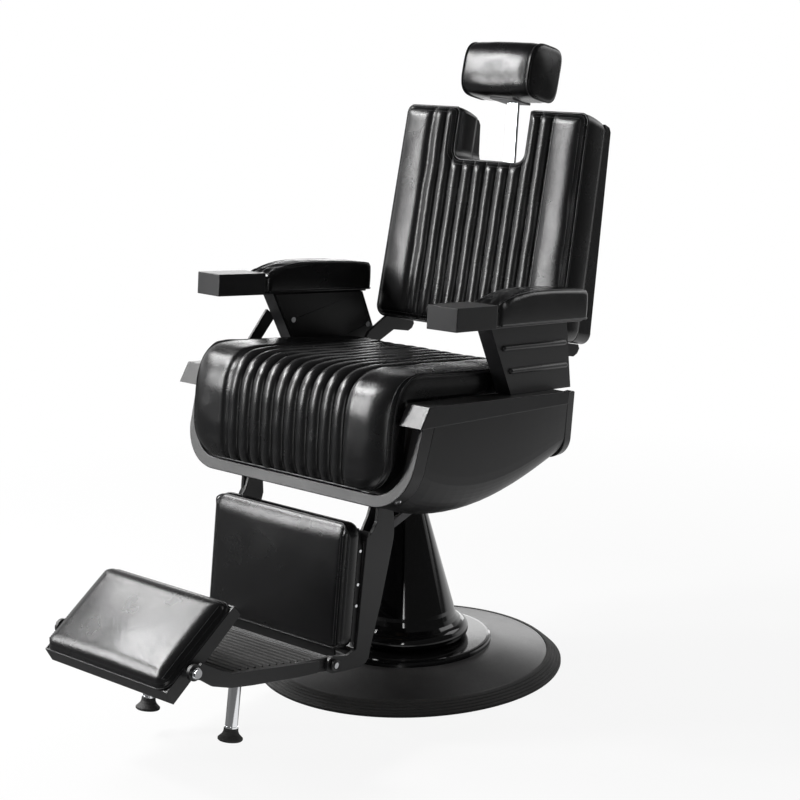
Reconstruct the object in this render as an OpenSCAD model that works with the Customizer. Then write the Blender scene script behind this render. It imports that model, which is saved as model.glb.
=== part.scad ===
// Hydraulic barber chair: reclining back, linked legrest, folding footrest.
// Millimetres. +Z up, the sitter faces -Y, column axis on Z, floor at z = 0.

/* [Base] */
// Diameter of the round base
base_d = 650; // [580:10:700]
// Height of the rubber rim band
rim_h = 26; // [18:1:32]
// Height of the dome where the step ring sits
dome_h = 50; // [40:1:60]
// Radius of the glossy step ring
step_r = 176; // [160:1:190]
// Radius of the column cover at its foot
cover_foot_r = 97; // [85:1:105]
// Radius of the column cover at its top
cover_top_r = 37; // [36:0.5:44]
// Height of the column cover top
cover_top = 368; // [350:1:369]
// Radius of the lifting ram
ram_r = 24; // [22:0.5:26]

/* [Seat] */
// Height of the rail top plane above the floor, at the column
seat_z = 632; // [620:1:660]
// Backward tilt of the whole seat
seat_tilt = 6; // [4:0.5:7]
// Half width over the side rails
rail_x = 344; // [338:1:350]
// Width of a side rail
rail_w = 58; // [48:1:60]
// Radius of the lower corner of the front hoop
hoop_r = 92; // [80:1:100]
// Depth of the front hoop
hoop_d = 32; // [26:1:36]
// Half width of the seat cushion
seat_hw = 281; // [274:1:284]
// Number of channels in the seat and back
channels = 10; // [8:2:12]
// Half width of the channelled area
chan_hw = 165; // [150:1:170]
// Depth of a channel seam
chan_d = 9; // [4:0.5:12]

/* [Armrests] */
// Height of the arm supports above the rail
arm_h = 140; // [130:1:150]
// Outer half width over the arm blocks
arm_x = 366; // [360:1:372]
// Width of an arm block
arm_w = 73; // [66:1:76]
// Height of an arm block
block_h = 46; // [40:1:50]

// Toe-in of the arms towards the back
toe = 3.5; // [0:0.5:4]

/* [Backrest] */
// Recline of the back from the seat's own upright
back_lean = 8; // [6:0.5:10]
// Height of the back
back_h = 471; // [450:1:490]
// Half width of the back
back_hw = 258; // [248:1:264]
// Depth of the headrest notch
notch_d = 112; // [100:1:120]
// Half width of the headrest notch at its floor
notch_hw = 99; // [92:1:104]
// Full travel of the recline, shared by the legrest
recline = 36; // [20:1:36]

/* [Headrest] */
// Width of the head pillow
pillow_w = 194; // [170:1:240]
// Height of the head pillow
pillow_h = 118; // [100:1:130]
// Depth of the head pillow
pillow_d = 104; // [90:1:112]
// Width of the flat post
post_w = 28; // [24:1:32]

/* [Footrest] */
// Slope of the footrest bars
foot_slope = 10; // [8:0.5:12]
// Slope of the flip pad
pad_slope = 35; // [30:1:40]
// Half width over the legrest arms
leg_x = 197; // [195:1:200]
// Number of ribs on the footplate
foot_ribs = 15; // [9:1:18]

/* [Hidden] */
$fn = 64;
base_r = base_d / 2;
plate_t = 8;
running = 0.05;
seam = 0.3;
lean_f = 12;
lean_r = 7;
tf = tan(lean_f);
tr = tan(lean_r);
rail_f = 41;
rail_b = 25;
arm_y = -253;
hoop_y = -291;
hoop_f = -274.2;
hoop_x = 319.5;
hoop_top = 323;
hoop_w = 23;
rear_y = 142;
rear_d = 21;
hoop_z = -214.5;
rear_z = -143;
rear_x = 344;
back_y = 168;
back_z = 90;
hinge_y = 118;
hinge_z = -38;
leg_hy = -246.6;
leg_hz = -198.9;
link_y = 3.2;
link_z = -78.1;
crank_y = 34;
crank_z = -36.6;
pin_r = 8;
crank_r = 6;
link_r = 5;
lane_leg = leg_x - plate_t;
cheek_x = leg_x - 25;
lane_link = lane_leg - 1.5 - plate_t;
lane_crank = lane_link + plate_t + 4;
lane_back = 233;
lane_side = 245;
elbow_y = -417;
elbow_z = 158;
calf_hw = leg_x - 6;
pad_u = -353.2;
pad_v = 22;
pad_y = elbow_y + pad_u * cos(foot_slope) + pad_v * sin(foot_slope);
pad_z = elbow_z - pad_u * sin(foot_slope) + pad_v * cos(foot_slope);
lev_y = -152;
lev_z = -22;
clear_pin = 0.6;

// ---------- frames ----------
module at_seat() {
  translate([0, 0, seat_z])
    rotate([-seat_tilt, 0, 0])
      children();
}

// Arm frame: x = 0 on the outer face of the arm block, y back along the arm from its front.
module at_arm() {
  translate([arm_x, arm_y, 0])
    rotate([0, 0, toe])
      children();
}

module at_back() {
  at_seat()
    translate([0, back_y, back_z])
      rotate([-back_lean, 0, 0])
        children();
}

module at_foot() {
  translate([0, elbow_y, elbow_z])
    rotate([-foot_slope, 0, 0])
      children();
}

module at_pad() {
  translate([0, pad_y, pad_z])
    rotate([pad_slope, 0, 0])
      children();
}

// A profile drawn in (y, z), given thickness t along +X from x0.
module slab_x(x0, t) {
  translate([x0, 0, 0])
    rotate([90, 0, 90])
      linear_extrude(t)
        children();
}

module both() {
  children();
  mirror([1, 0, 0])
    children();
}

module xcyl(x0, x1, r, y = 0, z = 0) {
  translate([x0, y, z])
    rotate([0, 90, 0])
      cylinder(h = x1 - x0, r = r);
}

// ---------- soft forms ----------
function edgef(d, r) = d >= r ? 1 : sqrt(max(0, 1 - pow(1 - max(d, 0) / r, 2)));
function lerp(a, b, t) = a + (b - a) * t;

function skin_faces(nx, ny) = let(o = nx * ny) concat(
  [for (i = [0:nx - 2], j = [0:ny - 2]) [i * ny + j, i * ny + j + 1, (i + 1) * ny + j + 1]],
  [for (i = [0:nx - 2], j = [0:ny - 2]) [i * ny + j, (i + 1) * ny + j + 1, (i + 1) * ny + j]],
  [for (i = [0:nx - 2], j = [0:ny - 2]) [o + i * ny + j, o + (i + 1) * ny + j + 1, o + i * ny + j + 1]],
  [for (i = [0:nx - 2], j = [0:ny - 2]) [o + i * ny + j, o + (i + 1) * ny + j, o + (i + 1) * ny + j + 1]],
  [for (i = [0:nx - 2]) [i * ny, (i + 1) * ny, o + (i + 1) * ny]],
  [for (i = [0:nx - 2]) [i * ny, o + (i + 1) * ny, o + i * ny]],
  [for (i = [0:nx - 2]) [(i + 1) * ny + ny - 1, i * ny + ny - 1, o + i * ny + ny - 1]],
  [for (i = [0:nx - 2]) [(i + 1) * ny + ny - 1, o + i * ny + ny - 1, o + (i + 1) * ny + ny - 1]],
  [for (j = [0:ny - 2]) [j + 1, j, o + j]],
  [for (j = [0:ny - 2]) [j + 1, o + j, o + j + 1]],
  [for (j = [0:ny - 2]) [(nx - 1) * ny + j, (nx - 1) * ny + j + 1, o + (nx - 1) * ny + j + 1]],
  [for (j = [0:ny - 2]) [(nx - 1) * ny + j, o + (nx - 1) * ny + j + 1, o + (nx - 1) * ny + j]]
);

module skin(top, bot, nx, ny) {
  polyhedron(points = concat(top, bot), faces = skin_faces(nx, ny), convexity = 6);
}

// Columns of a plain pad: close together near both edges.
function plain_cols(hw, r) = concat(
  [for (f = [0, 0.1, 0.3, 0.6, 1]) -hw + f * r],
  [for (k = [1:5]) lerp(-hw + r, hw - r, k / 6)],
  [for (f = [1, 0.6, 0.3, 0.1, 0]) hw - f * r]
);
rows_v = [0, 0.03, 0.08, 0.16, 0.3, 0.5, 0.7, 0.84, 0.92, 0.97, 1];

// Half length of a rounded rectangle at x.
function round_lim(x, hw, hl, r) = let(q = abs(x) - (hw - r))
  q <= 0 ? hl : hl - r + sqrt(max(0, r * r - q * q));

// A flat-backed pad on z = 0, edge height he rising to t, corner radius r, edge roll rr.
module plain_pad(hw, hl, r, he, t, rr) {
  xs = plain_cols(hw, r);
  top = [for (x = xs, v = rows_v) let(l = round_lim(x, hw, hl, r), y = lerp(-l, l, v),
    d = min(hw - abs(x), l - abs(y)), c = (1 - pow(x / hw, 2)) * (1 - pow(y / hl, 2)))
    [x, y, he + (t - he) * (0.72 * edgef(d, rr) + 0.28 * c)]];
  bot = [for (x = xs, v = rows_v) let(l = round_lim(x, hw, hl, r)) [x, lerp(-l, l, v), 0]];
  skin(top, bot, len(xs), len(rows_v));
}

// Columns through the channelled area: seam, crown, seam.
function chan_cols(hw) = concat(
  [for (f = [0, 0.06, 0.2, 0.45, 0.8]) -hw + f * (hw - chan_hw)],
  [for (k = [0:2 * channels]) -chan_hw + k * chan_hw / channels],
  [for (f = [0.8, 0.45, 0.2, 0.06, 0]) hw - f * (hw - chan_hw)]
);
function groove(x) = abs(x) > chan_hw + 1 ? 0 :
  let(p = (x + chan_hw) * channels / (2 * chan_hw)) abs(p - round(p)) < 0.1 ? chan_d : 0;

// ---------- base ----------
module base_plate() {
  color([0.2, 0.2, 0.21])
    cylinder(h = 6, r = base_r - 32, $fn = 128);
}

module base_dome() {
  color([0.17, 0.17, 0.18])
    rotate_extrude($fn = 128)
      polygon([[72, 6], [80, 6], [80, dome_h - 7], [step_r, dome_h - 7], [base_r - 38, rim_h - 9],
        [base_r - 38, 6], [base_r - 30, 6], [base_r - 30, rim_h], [step_r + 4, dome_h], [72, dome_h]]);
}

module base_rim() {
  color([0.1, 0.1, 0.1])
    rotate_extrude($fn = 128)
      polygon([[base_r - 30, 0], [base_r - 1, 0], [base_r, 2], [base_r, 6], [base_r - 2, 8],
        [base_r - 4, 8.5], [base_r - 5, 11], [base_r - 7, 12.5], [base_r - 9, 13], [base_r - 10, 15.5],
        [base_r - 12, 17], [base_r - 14, 17.5], [base_r - 15, 20], [base_r - 17, 21.5],
        [base_r - 19, 22], [base_r - 20, 24], [base_r - 22, 25.5], [base_r - 26, rim_h + 1],
        [base_r - 29.7, rim_h + 1], [base_r - 30, rim_h]]);
}

module step_ring() {
  color([0.06, 0.06, 0.065])
    rotate_extrude($fn = 128)
      polygon([[100, dome_h], [step_r, dome_h], [step_r, dome_h + 6], [step_r - 1.5, dome_h + 9],
        [step_r - 5, dome_h + 10.6], [step_r - 9, dome_h + 11], [100, dome_h + 11]]);
}

module column_cover() {
  zf = dome_h + 11;
  color([0.04, 0.04, 0.045])
    difference() {
      union() {
        rotate_extrude($fn = 128)
          polygon([[88, zf], [112, zf], [118, zf + 24], [112, zf + 34], [106, zf + 40], [101, zf + 48],
            [98.5, zf + 58], [cover_foot_r, zf + 66], [cover_top_r + 1, cover_top - 4],
            [cover_top_r, cover_top], [cover_top_r - 3, cover_top], [cover_top_r - 3, cover_top - 8],
            [cover_foot_r - 6, zf + 66], [88, zf + 40]]);
        rotate_extrude($fn = 128)
          translate([110, zf + 17])
            circle(r = 17.5);
      }
      translate([0, 0, zf - 2])
        cylinder(h = 2, r = 140);
      rotate([0, 0, 43.6])
        translate([-20, 60, zf - 1])
          cube([40, 90, 52]);
    }
}

module pump_cylinder() {
  color([0.25, 0.25, 0.26])
    difference() {
      union() {
        translate([0, 0, 6])
          cylinder(h = 10, r = 68);
        translate([0, 0, 6])
          cylinder(h = cover_top - 18, r = 30);
      }
      translate([0, 0, 18])
        cylinder(h = cover_top, r = ram_r + running);
      for (a = [45:90:315])
        rotate([0, 0, a])
          translate([52, 0, -1])
            cylinder(h = 20, r = 5);
    }
}

module pump_gland() {
  color([0.72, 0.72, 0.74])
    translate([0, 0, cover_top - 12])
      difference() {
        cylinder(h = 18, r = 31);
        translate([0, 0, -1])
          cylinder(h = 20, r = ram_r + running);
      }
}

module pump_bolts() {
  color([0.7, 0.7, 0.72])
    for (a = [45:90:315])
      rotate([0, 0, a])
        translate([52, 0, 6]) {
          cylinder(h = 10, r = 4.9);
          translate([0, 0, 10])
            cylinder(h = 6, r = 8, $fn = 6);
        }
}

module pedal_bracket() {
  color([0.2, 0.2, 0.21])
    rotate([0, 0, 43.6]) {
      difference() {
        union() {
          for (s = [-1, 1])
            translate([s * 15 - 3, 72.5, dome_h + 11])
              cube([6, 26, 34]);
          translate([-18, 72.5, dome_h])
            cube([36, 26, 11]);
        }
        xcyl(-30, 30, 5, 86, dome_h + 32);
      }
      xcyl(-19, 19, 5, 86, dome_h + 32);
    }
}

module pump_pedal() {
  color([0.16, 0.16, 0.17])
    rotate([0, 0, 43.6])
      difference() {
        union() {
          translate([-10, 74, dome_h + 27])
            cube([20, 250, 12]);
          translate([-38, 268, dome_h + 39])
            cube([76, 56, 6]);
        }
        xcyl(-30, 30, 5 + running, 86, dome_h + 32);
      }
}

module pedal_tread() {
  color([0.09, 0.09, 0.09])
    rotate([0, 0, 43.6])
      translate([-40, 272, dome_h + 45])
        difference() {
          cube([80, 48, 7]);
          for (k = [1:5])
            translate([-1, k * 8 - 1.2, 5])
              cube([82, 2.4, 4]);
        }
}

module lift_ram() {
  zc = cover_top + 6;
  color([0.8, 0.8, 0.82]) {
    translate([0, 0, 40])
      cylinder(h = zc - 40 + 6, r = ram_r);
    translate([0, 0, zc])
      cylinder(h = 6, r = 31);
    cylinder_top = zc + 6;
    translate([0, 0, cylinder_top])
      cylinder(h = 40, r = 20);
  }
}

module swivel_hub() {
  zb = cover_top + 12.3;
  color([0.18, 0.18, 0.19])
    difference() {
      union() {
        translate([0, 0, zb])
          cylinder(h = 46, r = 38);
        at_seat()
          translate([-100, -90, -208])
            cube([200, 180, 10]);
      }
      translate([0, 0, zb - 1])
        cylinder(h = 42, r = 20 + running);
      at_seat()
        translate([-120, -120, -198])
          cube([240, 240, 60]);
      at_seat()
        for (sx = [-1, 1], sy = [-1, 1])
          translate([sx * 85, sy * 75, -220])
            cylinder(h = 40, r = 5);
    }
}

// ---------- seat frame ----------
module inner_plate() {
  slab_x(cheek_x - 12, plate_t)
    polygon([[96, -22], [96, -60], [90, -198], [-110, -198], [-150, -150], [-190, -52], [-190, -22]]);
}

module lug_plate() {
  slab_x(lane_link, plate_t)
    difference() {
      union() {
        polygon([[leg_hy - 17, leg_hz + 5], [-204, -52], [-204, -22], [-160, -22], [-160, -60],
          [leg_hy + 17, leg_hz - 5]]);
        translate([leg_hy, leg_hz])
          circle(r = 18);
      }
      translate([leg_hy, leg_hz])
        circle(r = pin_r);
    }
}

module outer_plate() {
  slab_x(lane_side, plate_t)
    difference() {
      union() {
        polygon([[130, -22], [138, -38], [110, -62], [60, -66], [-204, -66], [-204, -22]]);
        translate([hinge_y, hinge_z])
          circle(r = 20);
      }
      translate([hinge_y, hinge_z])
        circle(r = pin_r);
    }
}

module seat_frame() {
  w = cheek_x - 12;
  color([0.15, 0.15, 0.16])
    at_seat() {
      difference() {
        union() {
          both() {
            inner_plate();
            lug_plate();
            outer_plate();
          }
          translate([-w, -110, -198])
            cube([2 * w, 200, 8]);
          for (y = [-204, 40])
            translate([-lane_side - plate_t, y, -52])
              cube([2 * (lane_side + plate_t), 30, 30]);
          both()
            for (y = [-194, 50])
              translate([lane_side + plate_t, y, -38])
                cube([rail_x - rail_w - lane_side - plate_t, 20, 14]);
          for (s = [-1, 1])
            translate([s * 24 - 4, -66, -190])
              cube([8, 60, 84]);
        }
        for (sx = [-1, 1], sy = [-1, 1])
          translate([sx * 85, sy * 75, -220])
            cylinder(h = 40, r = 5);
        lock_axis()
          translate([0, 0, -200])
            cylinder(h = 130, r = 20.05);
      }
    }
}

// The lock cylinder's own axis: +z runs back and up to the crank pin.
module lock_axis() {
  a = 18.87 + seat_tilt;
  translate([0, hinge_y + crank_y, hinge_z + crank_z])
    rotate([-(90 - a), 0, 0])
      children();
}

function arc(cx, cz, r, a0, a1, n) = [for (i = [0:n]) let(a = a0 + (a1 - a0) * i / n)
  [cx + r * cos(a), cz + r * sin(a)]];
function mirrored(p) = [for (i = [len(p) - 1:-1:0]) [-p[i][0], p[i][1]]];
// A U outline from its right half: the outer path down, the inner path down.
function u_shape(outer, inner) = concat(outer, mirrored(outer), inner_back(mirrored(inner)),
  inner_back(inner));
function inner_back(p) = [for (i = [len(p) - 1:-1:0]) p[i]];

module front_outline() {
  c = cos(lean_f);
  rise = 8 - rail_f / c;
  outer = concat([[hoop_top, rise]], arc(hoop_x - hoop_r, (hoop_z + hoop_r) / c, hoop_r, -8, -90, 24));
  inner = concat([[hoop_top - hoop_w - 3.5, rise]],
    arc(hoop_x - hoop_r - 1, (hoop_z + hoop_r + 2) / c, hoop_r + 1 - hoop_w, -8, -90, 24));
  polygon(u_shape(outer, inner));
}

// The hoop's own plane: x across, y up along its lean, z forward through its depth.
module at_hoop() {
  translate([0, hoop_f + hoop_d, 0])
    rotate([90 - lean_f, 0, 0])
      children();
}

module front_hoop() {
  color([0.17, 0.17, 0.18])
    at_seat()
      difference() {
        at_hoop()
          linear_extrude(hoop_d * cos(lean_f))
            front_outline();
        translate([-400, hoop_f - 60, -rail_f - seam])
          cube([800, 140, 60]);
      }
}

module rear_hoop() {
  c = cos(lean_r);
  outer = concat([[rear_x, 0]], arc(rear_x - 62, (rear_z + 50) / c, 50, -5, -90, 20));
  inner = concat([[rear_x - 20, 0]], arc(rear_x - 64, (rear_z + 52) / c, 32, -5, -90, 20));
  color([0.17, 0.17, 0.18])
    at_seat()
      translate([0, rear_y, 0])
        rotate([90 + lean_r, 0, 0])
          linear_extrude(rear_d * c)
            polygon(u_shape(outer, inner));
}

// Side skin of the seat shell: u runs front to back, v from the rail down round the corner.
function rail_low(y) = -rail_f + (rail_f - rail_b) * (y - hoop_y) / (rear_y - hoop_y);
function cover_sec(u, v, off) = let(
  rc = lerp(hoop_r, 52, u) - off,
  bz = lerp(hoop_z + 2.5, rear_z + 4, u) - 46 * sin(180 * pow(u, 0.85)),
  cx = lerp(hoop_x - hoop_r, 280, u),
  cz = bz + lerp(hoop_r, 52, u),
  xt = lerp(hoop_top, 341, u) - off,
  zt = lerp(-rail_f + 1, -rail_b, u),
  a = 8 + 74 * (v - 0.35) / 0.65)
  v < 0.35 ? [lerp(xt, cx + rc * cos(8), v / 0.35), lerp(zt, cz - rc * sin(8), v / 0.35)] :
  [cx + rc * cos(a), cz - rc * sin(a)];

module side_cover() {
  nu = 17;
  nv = 17;
  function pt(i, j, off) = let(u = i / (nu - 1), v = j / (nv - 1), s = cover_sec(u, v, off),
    z = s[1],
    yf = hoop_f + hoop_d + seam + tf * z,
    yr = rear_y - rear_d - seam - tr * z,
    y = lerp(yf, yr, u))
    [s[0], y, j == 0 ? rail_low(y) - seam : z];
  outer = [for (i = [0:nu - 1], j = [0:nv - 1]) pt(i, j, 0)];
  inner = [for (i = [0:nu - 1], j = [0:nv - 1]) pt(i, j, 3)];
  skin(outer, inner, nu, nv);
}

module side_cover_r() {
  color([0.19, 0.19, 0.2])
    at_seat()
      mirror([1, 0, 0])
        side_cover();
}

module side_cover_l() {
  color([0.19, 0.19, 0.2])
    at_seat()
      side_cover();
}

module side_rail() {
  ye = rear_y - rear_d - seam;
  slab_x(rail_x - rail_w, rail_w)
    polygon([[hoop_y, 0], [ye, 0], [ye + rail_b * tr, -rail_b], [hoop_y - 22, -rail_f]]);
}

module side_rail_l() {
  color([0.2, 0.2, 0.21])
    at_seat()
      side_rail();
}

module side_rail_r() {
  color([0.2, 0.2, 0.21])
    at_seat()
      mirror([1, 0, 0])
        side_rail();
}

module seat_board() {
  color([0.55, 0.42, 0.28])
    at_seat() {
      translate([-264, -270, -22])
        cube([528, 368, 15]);
      translate([-258, -283, -130])
        cube([516, 13, 123]);
    }
}

// Waterfall cushion: path of the outer face and of the face on the board, (y, z).
seat_out = [[-320, -177], [-330, -174], [-337, -162], [-341, -122], [-341, -62], [-338, -22], [-330, 8],
  [-315, 30], [-290, 45], [-256, 51], [-200, 52], [-80, 51], [30, 49.5], [88, 46], [108, 38], [115, 20]];
// The same rows along the piped side edge.
seat_edge = [[-303, -177], [-309, -171], [-312, -158], [-315, -122], [-315, -66], [-311, -22], [-304, 4],
  [-294, 24], [-272, 43], [-246, 48], [-200, 46], [-80, 42], [30, 38], [88, 34], [103, 28], [111, 16]];
seat_in = [[-284, -176], [-283.5, -170], [-283.5, -156], [-283.5, -120], [-283.5, -66], [-283.5, -36],
  [-283.5, -20], [-283.5, -6.5], [-268, -6.5], [-245, -6.5], [-196, -6.5], [-80, -6.5], [30, -6.5],
  [84, -6.5], [100, -6.5], [114, -6]];
function seat_half(z) = z > -107 ? seat_hw :
  seat_hw - 4 - 66 + sqrt(max(0, 4900 - pow(70 - (z + 177), 2)));

module seat_cushion() {
  xs = chan_cols(seat_hw);
  ny = len(seat_out);
  function hw_at(o) = min(seat_half(o[1]), arm_x - arm_w - 1.5 - sin(toe) * (o[0] - arm_y + 4));
  function sq(x, o) = abs(x) <= chan_hw + 1 ? x :
    sign(x) * lerp(chan_hw, hw_at(o), (abs(x) - chan_hw) / (seat_hw - chan_hw));
  function outp(x, j) = let(n = seat_in[j], o = seat_out[j], e = seat_edge[j],
    w = e + (o - e) * edgef(seat_hw - abs(x), 56),
    g = groove(x) * (j < 1 || j > ny - 2 ? 0.2 : 1),
    q = w + (n - w) * g / norm(o - n))
    [sq(x, o), q[0], q[1]];
  function inp(x, j) = [sq(x, seat_out[j]) * 0.985, seat_in[j][0], seat_in[j][1]];
  color([0.07, 0.07, 0.075])
    at_seat()
      skin([for (x = xs, j = [0:ny - 1]) outp(x, j)], [for (x = xs, j = [0:ny - 1]) inp(x, j)],
        len(xs), ny);
}

// ---------- armrests ----------
support_out = [[228, 0.5], [431, 0.5], [403.5, arm_h], [149, arm_h]];
rib_rows = [[196, 397, 94.5], [223, 405.5, 48]];
sheet_x = -34;
panel_x = 3 - arm_w;

module arm_support() {
  difference() {
    union() {
      slab_x(sheet_x - 3, 3)
        polygon(support_out);
      slab_x(panel_x, sheet_x - panel_x)
        polygon([[228, 0.5], [231.4, 0.5], [152.4, arm_h], [149, arm_h]]);
      slab_x(panel_x, sheet_x - panel_x)
        polygon([[428, 0.5], [431, 0.5], [403.5, arm_h], [400.5, arm_h]]);
      slab_x(panel_x + 4, sheet_x - panel_x - 4)
        polygon([[230, 0.5], [430, 0.5], [429.5, 3.5], [228.5, 3.5]]);
      for (r = rib_rows)
        translate([sheet_x, r[0], r[2]]) {
          sphere(r = 6, $fn = 24);
          rotate([-90, 0, 0])
            cylinder(h = r[1] - r[0], r = 6, $fn = 32);
          translate([0, r[1] - r[0], 0])
            sphere(r = 6, $fn = 24);
        }
    }
    for (r = rib_rows)
      translate([sheet_x - 10, r[0] - 8, r[2] - 8])
        cube([7, r[1] - r[0] + 16, 16]);
  }
}

module arm_support_l() {
  color([0.17, 0.17, 0.18])
    at_seat()
      at_arm()
        arm_support();
}

module arm_support_r() {
  color([0.17, 0.17, 0.18])
    at_seat()
      mirror([1, 0, 0])
        at_arm()
          arm_support();
}

panel_screws = [[205, 84], [422, 66]];

module arm_inner() {
  difference() {
    slab_x(-arm_w, 2.95)
      polygon([[231.4, 0.5], [431, 0.5], [446, 44], [438, 64], [403, arm_h], [152.4, arm_h]]);
    for (p = panel_screws)
      xcyl(-arm_w - 1, -arm_w + 4, 3, p[0], p[1]);
  }
}

module arm_inner_l() {
  color([0.12, 0.12, 0.13])
    at_seat()
      at_arm()
        arm_inner();
}

module arm_inner_r() {
  color([0.12, 0.12, 0.13])
    at_seat()
      mirror([1, 0, 0])
        at_arm()
          arm_inner();
}

module arm_block() {
  translate([-arm_w, 0, arm_h])
    cube([arm_w, 124, block_h]);
  translate([-arm_w + 6, 123, arm_h])
    cube([arm_w - 12, 296, 4]);
}

module arm_block_l() {
  color([0.2, 0.2, 0.21])
    at_seat()
      at_arm()
        arm_block();
}

module arm_block_r() {
  color([0.2, 0.2, 0.21])
    at_seat()
      mirror([1, 0, 0])
        at_arm()
          arm_block();
}

// Rows of the arm pad: distance along the arm, crown height, side inset.
pad_rows = [[124.3, 35, 3.5], [132, 35.5, 3.5], [135, 41.5, 0.8], [141, 44, 0], [150, 47.5, 0], [165, 53, 0],
  [185, 58.5, 0], [205, 62, 0], [230, 64.5, 0], [262, 65.5, 0], [300, 65.5, 0], [345, 65, 0], [385, 63.5, 0],
  [410, 62, 0], [422, 60.5, 0], [428, 58.5, 0], [431, 54, 0]];

module arm_pad() {
  hw = arm_w / 2 + 0.5;
  xs = [for (f = [-1, -0.985, -0.93, -0.8, -0.5, 0, 0.5, 0.8, 0.93, 0.985, 1]) f * hw];
  function tip(x) = round_lim(x, hw, 0, 13);
  function row(x, r) = let(k = max(0, (r[0] - 345) / 86)) [x * (1 - r[2] / hw), r[0] + tip(x) * k];
  function high(x, r) = let(f = abs(x) / hw) r[1] - 4 * f * f - (f > 0.99 ? 5 : f > 0.97 ? 1.5 : 0);
  top = [for (x = xs, r = pad_rows) let(p = row(x, r)) [p[0], p[1], high(x, r)]];
  bot = [for (x = xs, r = pad_rows) let(p = row(x, r)) [p[0], p[1], 0]];
  translate([-arm_w / 2, 0, arm_h + 4])
    skin(top, bot, len(xs), len(pad_rows));
}

module arm_pad_l() {
  color([0.07, 0.07, 0.075])
    at_seat()
      at_arm()
        arm_pad();
}

module arm_pad_r() {
  color([0.07, 0.07, 0.075])
    at_seat()
      mirror([1, 0, 0])
        at_arm()
          arm_pad();
}

module seat_screws() {
  color([0.8, 0.8, 0.82])
    at_seat() {
      both()
        at_arm()
          for (p = panel_screws) {
            xcyl(-arm_w, -arm_w + 2.9, 2.9, p[0], p[1]);
            xcyl(-arm_w - 2.2, -arm_w, 6, p[0], p[1]);
          }
      both()
        at_hoop()
          translate([hoop_x - hoop_r, (hoop_z + hoop_r) / cos(lean_f), hoop_d / 2 + 3])
            rotate([0, 90, -52])
              translate([0, 0, hoop_r + 0.1])
                cylinder(h = 3, r1 = 7, r2 = 5);
      xcyl(-rail_x - 7, -rail_x - 0.2, 5, lev_y, lev_z);
      xcyl(-rail_x - 11, -rail_x - 7, 10, lev_y, lev_z);
      for (sx = [-1, 1], sy = [-1, 1])
        translate([sx * 85, sy * 75, -208]) {
          cylinder(h = 18, r = 4.9);
          translate([0, 0, 18])
            cylinder(h = 6, r = 9, $fn = 6);
        }
    }
}

module hinge_pins() {
  color([0.75, 0.75, 0.77])
    at_seat()
      both() {
        xcyl(225, lane_side + plate_t, pin_r, hinge_y, hinge_z);
        xcyl(lane_side + plate_t, lane_side + plate_t + 4, 12, hinge_y, hinge_z);
        xcyl(cheek_x - 1, leg_x + 1, pin_r, leg_hy, leg_hz);
        xcyl(leg_x + 0.5, leg_x + 4, 11, leg_hy, leg_hz);
      }
}

module lock_cylinder() {
  color([0.13, 0.13, 0.14])
    at_seat()
      lock_axis()
        difference() {
          translate([0, 0, -222])
            cylinder(h = 162, r = 20);
          translate([0, 0, -208])
            cylinder(h = 200, r = 8 + running);
        }
}

module lock_rod() {
  color([0.8, 0.8, 0.82])
    at_seat()
      lock_axis()
        difference() {
          union() {
            translate([0, 0, -165])
              cylinder(h = 150, r = 8);
            translate([-14, -13, -19])
              cube([28, 29, 32]);
          }
          translate([-7, -20, -12])
            cube([14, 50, 40]);
          translate([-7, -20, -20.5])
            cube([14, 21.5, 20]);
          xcyl(-20, 20, crank_r + 0.4, 0, 0);
          translate([-20, 0, -crank_r - 0.4])
            cube([40, 3, 2 * crank_r + 0.8]);
          xcyl(-20, 20, crank_r + 0.4, 3, 0);
        }
}

module recline_lever() {
  color([0.13, 0.13, 0.14])
    at_seat()
      mirror([1, 0, 0])
        difference() {
          union() {
            slab_x(rail_x + 0.5, 6)
              union() {
                polygon([[lev_y - 14, lev_z], [lev_y + 13, lev_z - 8], [lev_y + 107, lev_z + 106],
                  [lev_y + 82, lev_z + 123]]);
                translate([lev_y, lev_z])
                  circle(r = 16);
              }
          }
          xcyl(rail_x - 1, rail_x + 9, 5 + running, lev_y, lev_z);
        }
}

// ---------- backrest ----------
module back_arm() {
  difference() {
    union() {
      slab_x(lane_back, plate_t)
        union() {
          translate([hinge_y, hinge_z])
            circle(r = 19);
          polygon([[119, -36], [119, 28], [136, 54], [back_y + 22, back_z - 22 * tan(back_lean) - seam],
            [back_y + 108, back_z - 108 * tan(back_lean) - seam], [280, 66], [274, 56], [262, 50], [214, 55],
            [158, 26], [148, -10], [137, -36]]);
        }
      slab_x(lane_crank, plate_t)
        union() {
          translate([hinge_y, hinge_z])
            circle(r = 19);
          polygon([[hinge_y - 15, hinge_z], [hinge_y + 15, hinge_z],
            [hinge_y + link_y + 10, hinge_z + link_z], [hinge_y + link_y - 10, hinge_z + link_z]]);
          translate([hinge_y + link_y, hinge_z + link_z])
            circle(r = 10);
        }
      xcyl(0, lane_back, 14, hinge_y, hinge_z);
      xcyl(lane_link - 1, lane_crank + plate_t, link_r, hinge_y + link_y, hinge_z + link_z);
    }
    xcyl(lane_back - 10, lane_back + 12, pin_r + running, hinge_y, hinge_z);
  }
}

module back_arms() {
  color([0.17, 0.17, 0.18])
    at_seat() {
      both()
        back_arm();
      slab_x(-6, 12)
        union() {
          polygon([[hinge_y - 12, hinge_z - 6], [hinge_y + 12, hinge_z - 2],
            [crank_y + hinge_y + 10, hinge_z + crank_z + 6],
            [crank_y + hinge_y - 8, hinge_z + crank_z - 8]]);
          translate([crank_y + hinge_y, crank_z + hinge_z])
            circle(r = 11);
        }
      xcyl(-17, 17, crank_r, hinge_y + crank_y, hinge_z + crank_z);
    }
}

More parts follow.
